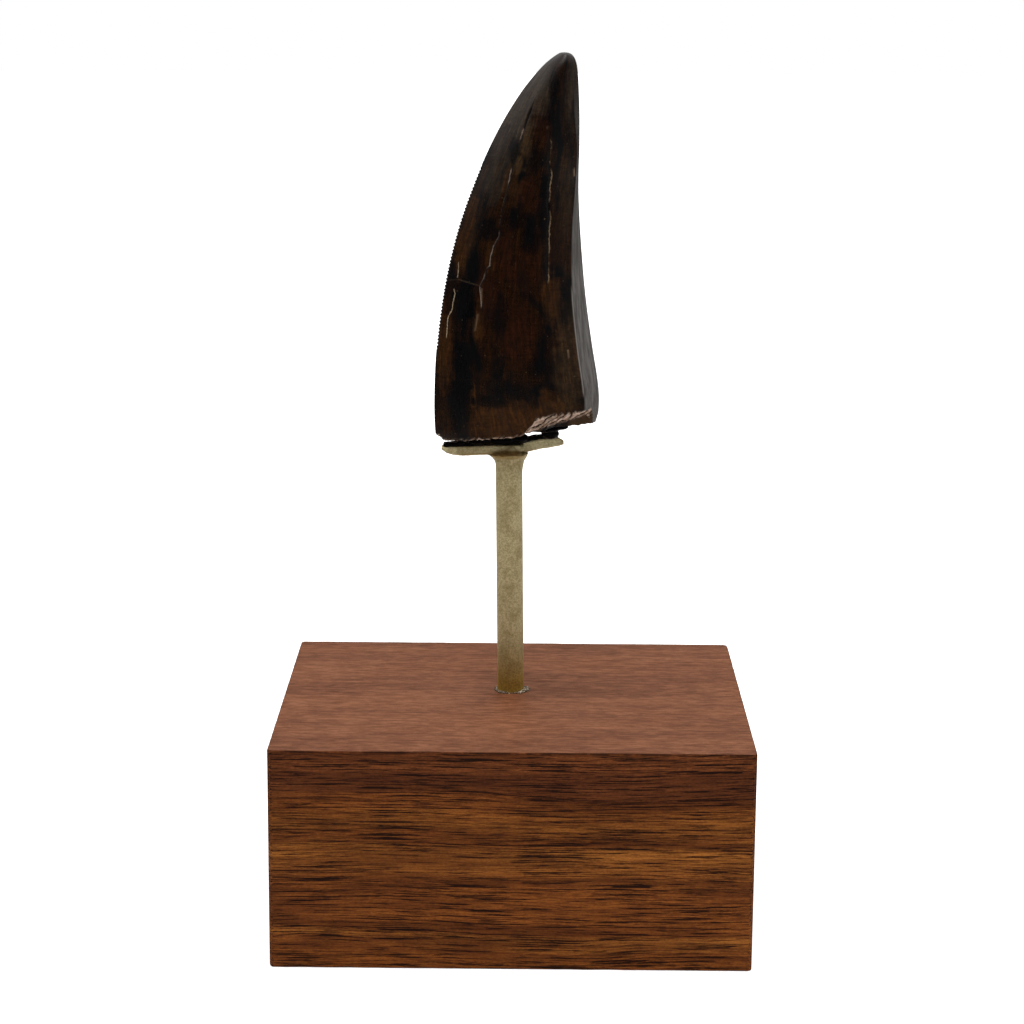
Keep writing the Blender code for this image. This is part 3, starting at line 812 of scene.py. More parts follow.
def enamel_material(settings):
    """Polished fossil enamel with growth streaks, stains, cracks, and torn dentine at the base, with painted
    sheen towards the tip, a partly painted reflection on the facet, and painted shade in the cracks, between
    the denticles and on the blackened break.
    """
    material, tree, shader = new_material("Fossil enamel")
    place = millimetres(tree)
    grown = stored(tree, "grown", "Vector")
    parts = split(tree, place)
    flat = vector_calc(tree, "MULTIPLY", place, (1, 0, 1))
    in_front = remap(tree, parts["Y"], 6.5, 4.0)

    streaks = place_group(
        tree, "Streaks", place=stretched(tree, grown, (1.0, 0.07, 1.0)), fineness=1.7, low=0.36, high=0.66
    )
    fine = place_group(
        tree,
        "Streaks",
        place=stretched(tree, grown, (1.0, 0.09, 1.0), (3, 0, 7)),
        fineness=3.1,
        low=0.47,
        high=0.60,
    )
    clouds = place_group(
        tree, "Blotches", place=stretched(tree, grown, (0.5, 0.14, 0.5)), size=1.5, low=0.42, high=0.62
    )
    mottle = place_group(
        tree, "Blotches", place=stretched(tree, grown, (1.0, 0.45, 1.0)), size=0.9, low=0.44, high=0.62
    )

    tones = {
        "black": settings.enamel_black,
        "amber": settings.enamel_amber,
        "red": settings.enamel_red,
        "olive": settings.enamel_olive,
        "grey": settings.enamel_grey_and_sheen,
    }
    colour = blend(tree, clouds["Mask"], settings.enamel_brown, settings.enamel_black)
    back_streak = calc(tree, "MULTIPLY", mottle["Mask"], calc(tree, "SUBTRACT", 1.0, in_front))
    colour = tint(tree, back_streak, 0.6, colour, settings.enamel_olive)
    lengthwise = noise_value(tree, stretched(tree, grown, (0.9, 0.10, 0.9)), 1.3, detail=5.0, roughness=0.6)
    across = noise_value(tree, stretched(tree, flat, (0.30, 1.0, 0.75), (5, 0, 2)), 1.0, detail=4.0)
    wander = calc(tree, "MULTIPLY_ADD", lengthwise, 2.0, -1.0)
    wander = calc(tree, "ADD", wander, calc(tree, "MULTIPLY_ADD", across, 1.6, -0.8))
    for tone, centre, spread, amount in ENAMEL_STAINS:
        stain = place_group(
            tree,
            "Patch",
            place=flat,
            centre=(centre[0], 0, centre[1]),
            spread=(spread[0], 1, spread[1]),
            wander=wander,
        )
        shown = calc(tree, "MULTIPLY", calc(tree, "MULTIPLY", stain["Mask"], amount), in_front)
        colour = blend(tree, shown, colour, tones[tone])
    colour = tint(tree, streaks["Mask"], 0.60, colour, (0.42, 0.36, 0.35), "MULTIPLY")
    colour = tint(tree, mottle["Mask"], 0.35, colour, (0.50, 0.46, 0.45), "MULTIPLY")
    colour = tint(tree, fine["Mask"], 0.80, colour, (1.85, 1.65, 1.5), "MULTIPLY")
    ripples = noise_value(
        tree, stretched(tree, grown, (0.55, 2.2, 1.0), (6, 1, 4)), 1.0, detail=4.0, roughness=0.7
    )
    colour = blend(tree, remap(tree, ripples, 0.44, 0.60), colour, (0.72, 0.66, 0.66), "MULTIPLY")
    dust = noise_value(tree, grown, 2.4, detail=2.0)
    colour = tint(tree, remap(tree, dust, 0.70, 0.76), 0.8, colour, (0.15, 0.105, 0.065))

    # The facet's worn grey, partly a painted reflection of the bright surroundings to the right
    facet = stored(tree, "facet")
    worn_and_reflection = blend(
        tree, remap(tree, streaks["Height"], 0.34, 0.66), (0.096, 0.088, 0.082), (0.222, 0.208, 0.195)
    )
    colour = blend(tree, facet, colour, worn_and_reflection)

    gap_and_shadow = None
    for crack_line in ENAMEL_CRACKS:
        gap_and_shadow, colour = add_crack(tree, crack_line, grown, gap_and_shadow, colour)
    crack = stored(tree, "crack")
    lip = stored(tree, "lip")
    broken = stored(tree, "broken")
    lip_tone = blend(tree, clouds["Height"], (0.16, 0.085, 0.040), (0.46, 0.33, 0.22))
    colour = blend(tree, lip, colour, lip_tone)
    ridge = stored(tree, "ridge")
    colour = blend(tree, ridge, colour, (0.44, 0.41, 0.38))
    # Painted shade in the cuts between the denticles, stored as crack
    colour = blend(tree, crack, colour, (0.0012, 0.001, 0.001))

    fibre_place = stretched(tree, place, (1.6, 1.6, 3.5))
    fibres = noise_value(tree, fibre_place, 1.3, detail=5.0, roughness=0.65, distortion=0.6)
    torn_parts = split(tree, stored(tree, "torn", "Vector"))
    phase = calc(tree, "MULTIPLY_ADD", fibres, 0.9, torn_parts["X"])
    phase = calc(tree, "FRACT", phase)
    torn = calc(tree, "MULTIPLY", remap(tree, phase, 0.22, 0.50), torn_parts["Y"])
    uneven = noise_value(tree, stretched(tree, place, (0.9, 0.9, 0.9), (4, 4, 4)), 1.0, detail=4.0)
    fresh = blend(tree, remap(tree, uneven, 0.38, 0.60), (0.44, 0.30, 0.21), settings.dentine_colour)
    # The old break goes near-black where bedding and painted shade darken it
    stale = blend(tree, torn_parts["Z"], (0.075, 0.043, 0.018), (0.0030, 0.0022, 0.0015))
    shadowed = blend(tree, torn_parts["Y"], stale, (0.036, 0.019, 0.007))
    dentine = blend(tree, torn, shadowed, fresh)
    colour = blend(tree, broken, colour, dentine)
    feed(tree, shader.inputs["Base Color"], colour)

    gloss = calc(tree, "MULTIPLY_ADD", streaks["Mask"], 0.05, 0.23)
    gloss = calc(tree, "MULTIPLY_ADD", clouds["Mask"], 0.05, gloss)
    gloss = calc(tree, "MULTIPLY_ADD", gap_and_shadow, 0.5, gloss)
    gloss = calc(tree, "MULTIPLY_ADD", calc(tree, "MAXIMUM", facet, lip), 0.18, gloss)
    gloss = calc(tree, "MULTIPLY_ADD", broken, 0.5, gloss)
    feed(tree, shader.inputs["Roughness"], calc(tree, "MULTIPLY_ADD", crack, 0.4, gloss, clamp=True))
    relief = calc(tree, "MULTIPLY_ADD", fine["Height"], 0.3, calc(tree, "MULTIPLY", streaks["Height"], 0.6))
    relief = calc(tree, "MULTIPLY_ADD", calc(tree, "MULTIPLY", broken, fibres), 6.0, relief)
    feed(tree, shader.inputs["Normal"], bump(tree, relief, 0.4, 0.00003))
    shader.inputs["Specular IOR Level"].default_value = 0.27
    return material


# Mesh helpers


def add_piece(name, mesh, material, node):
    """Links a finished mesh as the piece that stands for one solid of the frame."""
    piece = bpy.data.objects.new(name, mesh)
    bpy.context.scene.collection.objects.link(piece)
    mesh.materials.append(material)
    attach(piece, "root")
    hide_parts(node)
    return piece


def mesh_from_grid(name, points, closed_around=True):
    """Quads over rows of points; the rows run along the first axis and go round along the second."""
    rows, columns, _ = points.shape
    index = np.arange(rows * columns).reshape(rows, columns)
    following = np.roll(index, -1, axis=1) if closed_around else index[:, 1:]
    here = index if closed_around else index[:, :-1]
    faces = np.stack([here[:-1], following[:-1], following[1:], here[1:]], axis=-1).reshape(-1, 4)
    mesh = bpy.data.meshes.new(name)
    mesh.from_pydata(points.reshape(-1, 3).tolist(), [], faces.tolist())
    return mesh


def cap_ends(mesh, rows, columns):
    """Closes the first and last ring of a grid mesh."""
    shape = bmesh.new()
    shape.from_mesh(mesh)
    shape.verts.ensure_lookup_table()
    shape.faces.new([shape.verts[i] for i in range(columns)][::-1])
    shape.faces.new([shape.verts[(rows - 1) * columns + i] for i in range(columns)])
    bmesh.ops.recalc_face_normals(shape, faces=shape.faces)
    shape.to_mesh(mesh)
    shape.free()
    mesh.shade_smooth()
    mesh.set_sharp_from_angle(angle=math.radians(40))


def smooth_step(low, high, value):
    t = np.clip((value - low) / (high - low), 0, 1)
    return t * t * (3 - 2 * t)


def rough(points, scale, seed=0.0):
    """Smooth noise from -1 to 1 at each point, for lumps and wear in real geometry."""
    shift = Vector((seed, seed * 1.7, -seed))
    flat = points.reshape(-1, 3)
    values = [noise.noise(Vector(p) * scale + shift) for p in flat.tolist()]
    return np.array(values).reshape(points.shape[:-1])


def post_matrix():
    return Matrix.Translation(POST_FOOT) @ Matrix.Rotation(-POST_LEAN, 4, "Y")


def to_world(points, matrix):
    turn = np.array(matrix.to_3x3())
    return points @ turn.T + np.array(matrix.translation)


def finished(name, shape, creases=40):
    bmesh.ops.recalc_face_normals(shape, faces=shape.faces)
    mesh = bpy.data.meshes.new(name)
    shape.to_mesh(mesh)
    shape.free()
    mesh.shade_smooth()
    mesh.set_sharp_from_angle(angle=math.radians(creases))
    return mesh


def evaluated_mesh(name, obj):
    """The mesh that an object's modifiers make, with the object itself removed."""
    depsgraph = bpy.context.evaluated_depsgraph_get()
    mesh = bpy.data.meshes.new_from_object(obj.evaluated_get(depsgraph))
    mesh.name = name
    bpy.data.objects.remove(obj, do_unlink=True)
    return mesh


def fused(name, shape, voxel, smoothing, lump_size, lump_height, seed):
    """Overlapping closed forms fused into one skin, softened, and given small lumps."""
    rough_mesh = bpy.data.meshes.new(name)
    shape.to_mesh(rough_mesh)
    shape.free()
    obj = bpy.data.objects.new(name + "_forms", rough_mesh)
    bpy.context.scene.collection.objects.link(obj)
    remesh = obj.modifiers.new("Fuse", "REMESH")
    remesh.mode = "VOXEL"
    remesh.voxel_size = voxel
    soften = obj.modifiers.new("Soften", "SMOOTH")
    soften.iterations = smoothing
    mesh = evaluated_mesh(name, obj)
    places = np.empty(len(mesh.vertices) * 3)
    mesh.vertices.foreach_get("co", places)
    normals = np.empty(len(mesh.vertices) * 3)
    mesh.vertices.foreach_get("normal", normals)
    places = places.reshape(-1, 3)
    lumps = rough(places, 1 / lump_size, seed) + 0.5 * rough(places, 2.3 / lump_size, seed + 5)
    places = places + normals.reshape(-1, 3) * (lumps * lump_height)[:, None]
    mesh.vertices.foreach_set("co", places.ravel())
    mesh.shade_smooth()
    return mesh


# The block


def block_mesh(settings):
    """A box whose edges are rounded over, with the small unevenness of sanded open-pored wood."""
    low, high = np.array(BLOCK_LOW), np.array(BLOCK_HIGH)
    radius = settings.edge_radius
    corner_radius = settings.corner_radius
    fine = np.array([0.0, 0.12, 0.28, 0.5, 0.75, 1.0, 1.4]) * corner_radius
    axes = []
    for k, step in enumerate((0.0012, 0.0012, 0.0012)):
        count = int((high[k] - low[k]) / step)
        inner = np.linspace(low[k] + 2 * corner_radius, high[k] - 2 * corner_radius, count)
        axes.append(np.concatenate([low[k] + fine, inner, high[k] - fine[::-1]]))
    shape = bmesh.new()
    for k in range(3):
        a, b = (k + 1) % 3, (k + 2) % 3
        for face_place in (low[k], high[k]):
            grid_a, grid_b = np.meshgrid(axes[a], axes[b], indexing="ij")
            points = np.empty((*grid_a.shape, 3))
            points[..., a], points[..., b], points[..., k] = grid_a, grid_b, face_place
            points = rounded_box(points, low, high, radius, corner_radius)
            verts = [[shape.verts.new(p) for p in line] for line in points.tolist()]
            for i in range(len(verts) - 1):
                for j in range(len(verts[0]) - 1):
                    shape.faces.new((verts[i][j], verts[i + 1][j], verts[i + 1][j + 1], verts[i][j + 1]))
    bmesh.ops.remove_doubles(shape, verts=shape.verts, dist=1e-6)
    return finished("wood_block", shape, 60)


def rounded_box(points, low, high, radius, corner_radius):
    """Points of a box's surface with crisp, slightly worn edges and rounder upright corners."""
    wear = radius * (1 + 0.5 * rough(points * np.array([0.3, 1, 1]), 900.0, 2.0)[..., None])
    inner = np.clip(points, low + wear, high - wear)
    away = points - inner
    length = np.linalg.norm(away, axis=-1, keepdims=True)
    points = inner + away / np.maximum(length, 1e-9) * np.minimum(length, wear)
    flat = points[..., :2]
    inner = np.clip(flat, low[:2] + corner_radius, high[:2] - corner_radius)
    away = flat - inner
    length = np.linalg.norm(away, axis=-1, keepdims=True)
    longest = np.abs(away).max(axis=-1, keepdims=True)
    points[..., :2] = inner + away * longest / np.maximum(length, 1e-9)
    return points


# The post and the glue


def post_mesh(settings):
    """The rod, with its brazed head spreading unevenly under the bars."""
    radius = settings.rod_radius
    around = 120
    top = 0.0437
    flare_start = top - 0.0040
    straight = np.linspace(-0.006, flare_start, 110)
    flare = np.linspace(flare_start, top, 36)[1:]
    heights = np.concatenate([straight, flare])
    angles = np.arange(around) / around * math.tau
    z, angle = np.meshgrid(heights, angles, indexing="ij")
    share = np.clip((z - flare_start) / (top - flare_start), 0, 1)
    leftness = 0.5 - 0.5 * np.cos(angle)
    power = 2.4 + 3.0 * leftness
    frontness = np.clip(-np.sin(angle), 0, 1)
    reach = radius + (HEAD_RADIUS + 0.0006 * leftness - radius) * share**power * (1 - 0.7 * frontness)
    points = np.stack([reach * np.cos(angle), reach * np.sin(angle), z], axis=-1)
    lumps = rough(points, 900.0, 3.0) * share**2
    ripple = rough(points * np.array([1, 1, 0.3]), 700.0, 8.0)
    reach = reach + 0.00022 * lumps + 0.000012 * ripple
    points[..., 0] = reach * np.cos(angle)
    points[..., 1] = reach * np.sin(angle)
    points[..., 2] += 0.00018 * rough(points, 1400.0, 12.0) * smooth_step(0.7, 1.0, share)
    points = to_world(points, post_matrix())
    mesh = mesh_from_grid("brass_rod", points)
    cap_ends(mesh, len(heights), around)
    return mesh


def glue_mesh(settings):
    """Beads of glue squeezed out round the post's foot."""
    shape = bmesh.new()
    beads = 30
    ring_radius = settings.rod_radius + 0.00028
    for i in range(beads):
        angle = math.tau * i / beads
        wobble = noise.noise(Vector((math.cos(angle) * 1.6, math.sin(angle) * 1.6, 4.0)))
        size = 0.00034 + 0.00034 * wobble
        distance = ring_radius + 0.00030 * wobble
        centre = POST_FOOT + Vector((distance * math.cos(angle), distance * math.sin(angle), 0.2 * size))
        flattened = Matrix.Translation(centre) @ Matrix.Diagonal((1.35, 1.35, 0.85, 1.0))
        bmesh.ops.create_icosphere(shape, subdivisions=3, radius=size, matrix=flattened)
    return fused("glue_ring", shape, 0.00007, 2, 0.0004, 0.00004, 6.0)


# The cradle bars


def bar_points(stations, heading, width, edge, rows, seed):
    """Rings of points along a bar of rounded square section through its stations, filed a little uneven."""
    along = np.array([math.cos(heading), math.sin(heading), 0.0])
    across = np.array([-along[1], along[0], 0.0])
    hub = np.array(post_matrix() @ Vector((0, 0, POST_HIGH.z - BLOCK_HIGH.z)))
    table = np.array(stations)
    distance = np.linspace(table[0, 0], table[-1, 0], rows)
    low = np.interp(distance, table[:, 0], table[:, 1])
    high = np.interp(distance, table[:, 0], table[:, 2])
    slant = np.interp(distance, table[:, 0], table[:, 3])
    corner_steps = 6
    straight_steps = 8
    corners = ((1, -1), (1, 1), (-1, 1), (-1, -1))
    outline = []
    for number, (centre, following) in enumerate(zip(corners, corners[1:] + corners[:1])):
        start = math.radians(-90 + 90 * number)
        for i in range(corner_steps + 1):
            angle = start + math.radians(90) * i / corner_steps
            direction = (math.cos(angle), math.sin(angle))
            outline.append((*centre, *direction))
        for i in range(1, straight_steps):
            share = i / straight_steps
            between = (c + (f - c) * share for c, f in zip(centre, following))
            outline.append((*between, *direction))
    outline = np.array(outline)
    half_width = width / 2
    points = np.empty((rows, len(outline), 3))
    for r in range(rows):
        half_height = (high[r] - low[r]) / 2
        corner = min(edge, 0.8 * half_height)
        side = outline[:, 0] * (half_width - corner) + outline[:, 2] * corner
        lift = outline[:, 1] * (half_height - corner) + outline[:, 3] * corner
        run = distance[r] + slant[r] * side / half_width
        points[r] = hub + np.outer(run, along) + np.outer(side, across)
        points[r, :, 2] = (high[r] + low[r]) / 2 + lift
    centre_line = points.mean(axis=1, keepdims=True)
    outward = points - centre_line
    outward /= np.linalg.norm(outward, axis=-1, keepdims=True)
    uneven = 0.00006 * rough(points, 500.0, seed) + 0.000025 * rough(points, 2200.0, seed + 3)
    return points + outward * uneven[..., None]


# Beads of brazing metal on each bar: (centre, radii), in millimetres
LEFT_BEADS = (
    ((-0.7, 1.65, 83.35), (1.0, 0.50, 0.80)),
    ((-3.2, 1.7, 82.50), (1.1, 0.95, 0.38)),
    ((-1.6, 1.2, 82.45), (1.4, 1.10, 0.48)),
    ((0.3, 1.3, 82.50), (1.0, 1.00, 0.48)),
)
RIGHT_BEADS = (((0.9, 2.1, 83.55), (0.75, 0.70, 0.75)),)


def bar_mesh(name, stations, heading, settings, beads, seed):
    """A filed bar with its beads of brazing metal, fused into one skin."""
    points = bar_points(stations, heading, settings.bar_width, 0.0003, 90, seed)
    bar = mesh_from_grid(name + "_bar", points)
    cap_ends(bar, points.shape[0], points.shape[1])
    shape = bmesh.new()
    shape.from_mesh(bar)
    bpy.data.meshes.remove(bar)
    add_lumps(shape, beads, 3)
    return fused(name, shape, 0.00009, 2, 0.0007, 0.00004, seed)


def add_lumps(shape, lumps, subdivisions):
    for centre, radii in lumps:
        place = Matrix.Translation(Vector(centre) * MM) @ Matrix.Diagonal((*(Vector(radii) * MM), 1.0))
        bmesh.ops.create_icosphere(shape, subdivisions=subdivisions, radius=1.0, matrix=place)


# The bedding


def add_ribbon(shape, stations, heading, width, thickness):
    """A closed strip along a bar's upper face."""
    along = Vector((math.cos(heading), math.sin(heading), 0))
    across = Vector((-along.y, along.x, 0))
    hub = post_matrix() @ Vector((0, 0, POST_HIGH.z - BLOCK_HIGH.z))
    rings = []
    for distance, bottom in stations:
        ring = []
        for side, z in ((-1, bottom), (1, bottom), (1, bottom + thickness), (-1, bottom + thickness)):
            place = along * distance + across * (side * width / 2)
            ring.append(shape.verts.new((hub.x + place.x, hub.y + place.y, z)))
        rings.append(ring)
    for one, other in zip(rings, rings[1:]):
        for k in range(4):
            n = (k + 1) % 4
            shape.faces.new((one[k], one[n], other[n], other[k]))
    shape.faces.new(rings[0][::-1])
    shape.faces.new(rings[-1])


# Lumps of bedding: (centre, radii), in millimetres
BEDDING_LUMPS = (
    ((-2.4, 2.4, 85.10), (5.4, 2.0, 0.95)),
    ((-6.6, 2.2, 84.80), (1.6, 1.8, 0.80)),
    ((-9.6, 2.0, 84.70), (0.55, 1.0, 0.60)),
    ((0.4, 2.2, 85.40), (2.0, 2.0, 0.95)),
    ((6.2, 3.4, 86.10), (1.6, 1.3, 1.10)),
    ((5.0, 3.0, 87.00), (3.2, 2.2, 0.60)),
    ((8.0, 3.0, 87.35), (1.4, 1.5, 0.55)),
)


def bedding_mesh(settings):
    shape = bmesh.new()
    width = settings.bar_width - 0.0001
    left = ((-0.0020, 0.08432), (0.0036, 0.08412), (0.0080, 0.08392), (0.0117, 0.08374))
    right = ((-0.0010, 0.08430), (0.0022, 0.08455), (0.0052, 0.08486), (0.0092, 0.08494))
    add_ribbon(shape, left, math.pi, width, 0.00068)
    add_ribbon(shape, right, ARM_RIGHT_HEADING, width, 0.00050)
    add_lumps(shape, BEDDING_LUMPS, 4)
    return fused("setting_compound", shape, 0.00012, 4, 0.0009, 0.00009, 9.0)


# The tooth


def rise(share):
    """Runs from 0 to 1 with the share, so that the crown closes to a round tip."""
    return 1 - np.sqrt(1 - share)


def curve_value(table, share, column, level_end=False):
    """Smooth value of one column of a table at each share, by a Catmull-Rom curve through its rows."""
    table = np.array(table)
    x, y = rise(table[:, 0]), table[:, column]
    share = rise(share)
    slopes = np.empty_like(y)
    slopes[1:-1] = (y[2:] - y[:-2]) / (x[2:] - x[:-2])
    slopes[0] = (y[1] - y[0]) / (x[1] - x[0])
    slopes[-1] = 0 if level_end else (y[-1] - y[-2]) / (x[-1] - x[-2])
    i = np.clip(np.searchsorted(x, share, side="right") - 1, 0, len(x) - 2)
    span = x[i + 1] - x[i]
    t = (share - x[i]) / span
    start = (2 * t**3 - 3 * t**2 + 1) * y[i] + (t**3 - 2 * t**2 + t) * span * slopes[i]
    end = (3 * t**2 - 2 * t**3) * y[i + 1] + (t**3 - t**2) * span * slopes[i + 1]
    return start + end


def crown_point(share, place):
    """Points of the crown's surface, at shares of its height and places round it.

    place is 0 at the mesial edge, 1 at the distal ridge and 2 at the mesial edge again, past the back.
    """
    mesial_x, distal_x = (curve_value(TOOTH_OUTLINE, share, k) for k in (1, 3))
    mesial_z, distal_z = (curve_value(TOOTH_OUTLINE, share, k, level_end=True) for k in (2, 4))
    front = curve_value(TOOTH_THICKNESS, share, 1)
    back = curve_value(TOOTH_THICKNESS, share, 2)
    centre_x = (mesial_x + distal_x) / 2
    centre_z = (mesial_z + distal_z) / 2
    half_x = (distal_x - mesial_x) / 2
    half_z = (distal_z - mesial_z) / 2
    ridge_angle = np.radians(curve_value(RIDGE_PLACE, share, 1))
    ridge_depth = front * curve_value(RIDGE_PLACE, share, 2)
    roundness = 0.4 * smooth_step(0.16, 0.0, share)

    s = np.clip(place, 0, 1)
    front_along = -1 + (np.cos(ridge_angle) + 1) * s
    bulge = front - 0.45 * ridge_depth
    front_depth = -(ridge_depth * s + bulge * 4 * s * (1 - s) * (1 + 0.45 * roundness * (1 - s) ** 6))

    angle = -ridge_angle + (math.pi + ridge_angle) * np.clip(place - 1, 0, 1)
    facet_depth = ridge_depth * np.sin(angle) / np.sin(ridge_angle)
    keen = np.where(angle < math.pi / 2, 0.0, 0.75 - 0.5 * roundness)
    back_depth = back * ((1 - keen) * np.sin(angle) + keen * np.sin(angle) ** 2)
    behind_depth = np.where(angle < 0, facet_depth, back_depth)

    along = np.where(place <= 1, front_along, np.cos(angle))
    depth = np.where(place <= 1, front_depth, behind_depth)
    x = centre_x + half_x * along
    y = TOOTH_DEPTH_CENTRE + depth + TIP_LEAN_BACK * share * share
    z = centre_z + half_z * along
    return np.stack([x, y, z], axis=-1)


def break_height(x, y, edge_share, chip_height):
    """Height of the broken base under the crown. edge_share is 1 at the rim and 0 in the middle."""
    mesial_x, mesial_z, distal_x, distal_z = TOOTH_OUTLINE[0][1:]
    level = mesial_z + (distal_z - mesial_z) * (x - mesial_x) / (distal_x - mesial_x)
    depth = y - TOOTH_DEPTH_CENTRE
    level = level - BREAK_FRONT_RISE * depth
    slope = np.clip(edge_share - CHIP_INNER_SHARE, 0, 1) / (1 - CHIP_INNER_SHARE)
    in_front = smooth_step(*CHIP_BACK_DEPTH, depth / np.maximum(edge_share, CHIP_INNER_SHARE))
    chip = slope * in_front * smooth_step(CHIP_FROM_X, CHIP_FULL_X, x)
    ground = np.stack([x, y, np.zeros_like(x)], axis=-1)
    uneven = 0.00022 * rough(ground, 1400.0, 3.7) + 0.00016 * rough(ground, 3600.0, 1.2)
    corner_from, corner_to, corner_height = CORNER_CUT
    level = level + corner_height * np.clip((x - corner_from) / (corner_to - corner_from), 0, 1) ** 1.6
    level = level + chip_height * chip
    step = fibre_phase(x, level) % 1.0 - 0.5
    return level + uneven + FIBRE_STEP * step * np.clip(chip * 3, 0, 1)


def above_fresh_line(x, z):
    from_x, from_z, slope = FRESH_LINE
    return z - from_z - slope * (x - from_x)


def fibre_phase(x, z):
    """Counts the torn fibres, which run up to the right: each whole number is one fibre's edge."""
    height = above_fresh_line(x, z)
    place = np.stack([x, height, np.zeros_like(x)], axis=-1)
    return (x - FIBRE_RUN * height) / FIBRE_PITCH + 1.1 * rough(place, 520.0, 6.1)


# Torn fibres in the chip: the line that they end at (x, z, slope), their spacing, and their run for each rise
FRESH_LINE = (0.0031, 0.0875, 0.30)
FIBRE_PITCH = 0.0021
FIBRE_RUN = 2.0
# The part of the break darkened by bedding and painted shade, as x from its left to its right
BLACKENED_AND_SHADED = (0.0040, 0.0050, 0.0088, 0.0100)


def crown_rows(settings):
    """Shares of the height for the rows, closest together along the serrated edge."""
    probe = 1 - np.linspace(1, 0, 4001) ** 2
    edge = crown_point(probe, np.zeros_like(probe))
    length = np.concatenate([[0], np.cumsum(np.linalg.norm(np.diff(edge, axis=0), axis=1))])
    from_share, to_share = SERRATED
    first = np.interp(from_share, probe, length)
    last = np.interp(to_share, probe, length)
    denticles = round((last - first) / settings.denticle_pitch)
    serrated = np.linspace(first, last, denticles * ROWS_PER_DENTICLE + 1)
    below = np.linspace(0, first, 56)[:-1]
    above = last + (length[-1] - last) * (1 - (1 - np.linspace(0, 1, 74)) ** 1.5)[1:]
    lengths = np.concatenate([below, serrated, above])
    shares = np.interp(lengths, length, probe)
    phase = (lengths - first) / (last - first) * denticles
    return shares, lengths, phase, (lengths > first) & (lengths < last)


SERRATED = (0.235, 0.715)
ROWS_PER_DENTICLE = 6
# Rows from the rim up that can show broken dentine, and that torn fibres are worked out for
BROKEN_ROWS = 12
FIBRE_ROWS = 14
# Shares of the height that the pale line on the distal ridge ends at
RIDGE_LINE = ((0.42, 1), (0.07, 1))
BACK_COLUMNS = 84
# Columns of the front face between the mesial edge, the three cracks and the distal ridge
FRONT_SPANS = (16, 28, 36, 24)


def crack_value(crack, share, column):
    """Place (1), pale edge (2) or dark gap with painted shadow (3) of a crack at each share."""
    table = np.array(crack[::-1])
    return np.interp(share, table[:, 0], table[:, column])


def crowded(count, amount=0.6):
    """Shares from 0 to 1, without the 1, crowded towards both ends."""
    t = np.arange(count) / count
    return (1 - amount) * t + amount * (0.5 - 0.5 * np.cos(math.pi * t))


def crown_places(shares):
    """Places round the section for each row, with whole columns running down the three cracks."""
    knots = [
        np.zeros_like(shares),
        crack_value(CRACK_MESIAL, shares, 1),
        crack_value(CRACK_MIDDLE, shares, 1),
        crack_value(CRACK_DISTAL, shares, 1),
        np.ones_like(shares),
    ]
    columns = []
    for span, (low, high) in zip(FRONT_SPANS, zip(knots, knots[1:])):
        for t in crowded(span):
            columns.append(low + (high - low) * t)
    for t in crowded(BACK_COLUMNS, 0.45):
        columns.append(np.full_like(shares, 1 + t))
    return np.stack(columns, axis=1)


# Circumference that the growth streaks are spread over, front and back
GROWN_FRONT = 0.022
GROWN_BACK = 0.028
# Short pale scratches and flecks: (share and place of one end, of the other end, width, strength)
SCRATCHES = (
    ((0.413, 0.015), (0.420, 0.100), 0.00008, 0.10),
    ((0.420, 0.100), (0.413, 0.265), 0.00008, 0.18),
    ((0.245, 0.935), (0.222, 0.937), 0.00008, 1.00),
    ((0.819, 0.605), (0.817, 0.645), 0.00010, 0.60),
    ((0.723, 0.975), (0.708, 0.985), 0.00012, 0.80),
    ((0.340, 0.282), (0.300, 0.272), 0.00016, 0.35),
    ((0.405, 0.290), (0.370, 0.300), 0.00014, 0.50),
)


def line_mask(offset, width):
    return np.exp(-((offset / width) ** 2))


def scratch_mask(start, finish, width, places, around, lengths, shares):
    """1 on a straight scratch between two places of the front, fading across its width."""
    ends = []
    for share, place in (start, finish):
        row = int(np.argmin(np.abs(shares - share)))
        across = np.interp(place, places[row], around[row])
        ends.append(np.array([across, np.interp(share, shares, lengths)]))
    along = ends[1] - ends[0]
    here = np.stack([around, np.broadcast_to(lengths[:, None], around.shape)], axis=-1) - ends[0]
    t = np.clip(here @ along / (along @ along), 0, 1)
    distance = np.linalg.norm(here - t[..., None] * along, axis=-1)
    return line_mask(distance, width)


def fade_along(crack, share, ends=0.02):
    """1 along a crack and 0 past its ends."""
    low, high = crack[-1][0], crack[0][0]
    return smooth_step(low - ends, low + ends, share) * smooth_step(high + ends, high - ends, share)


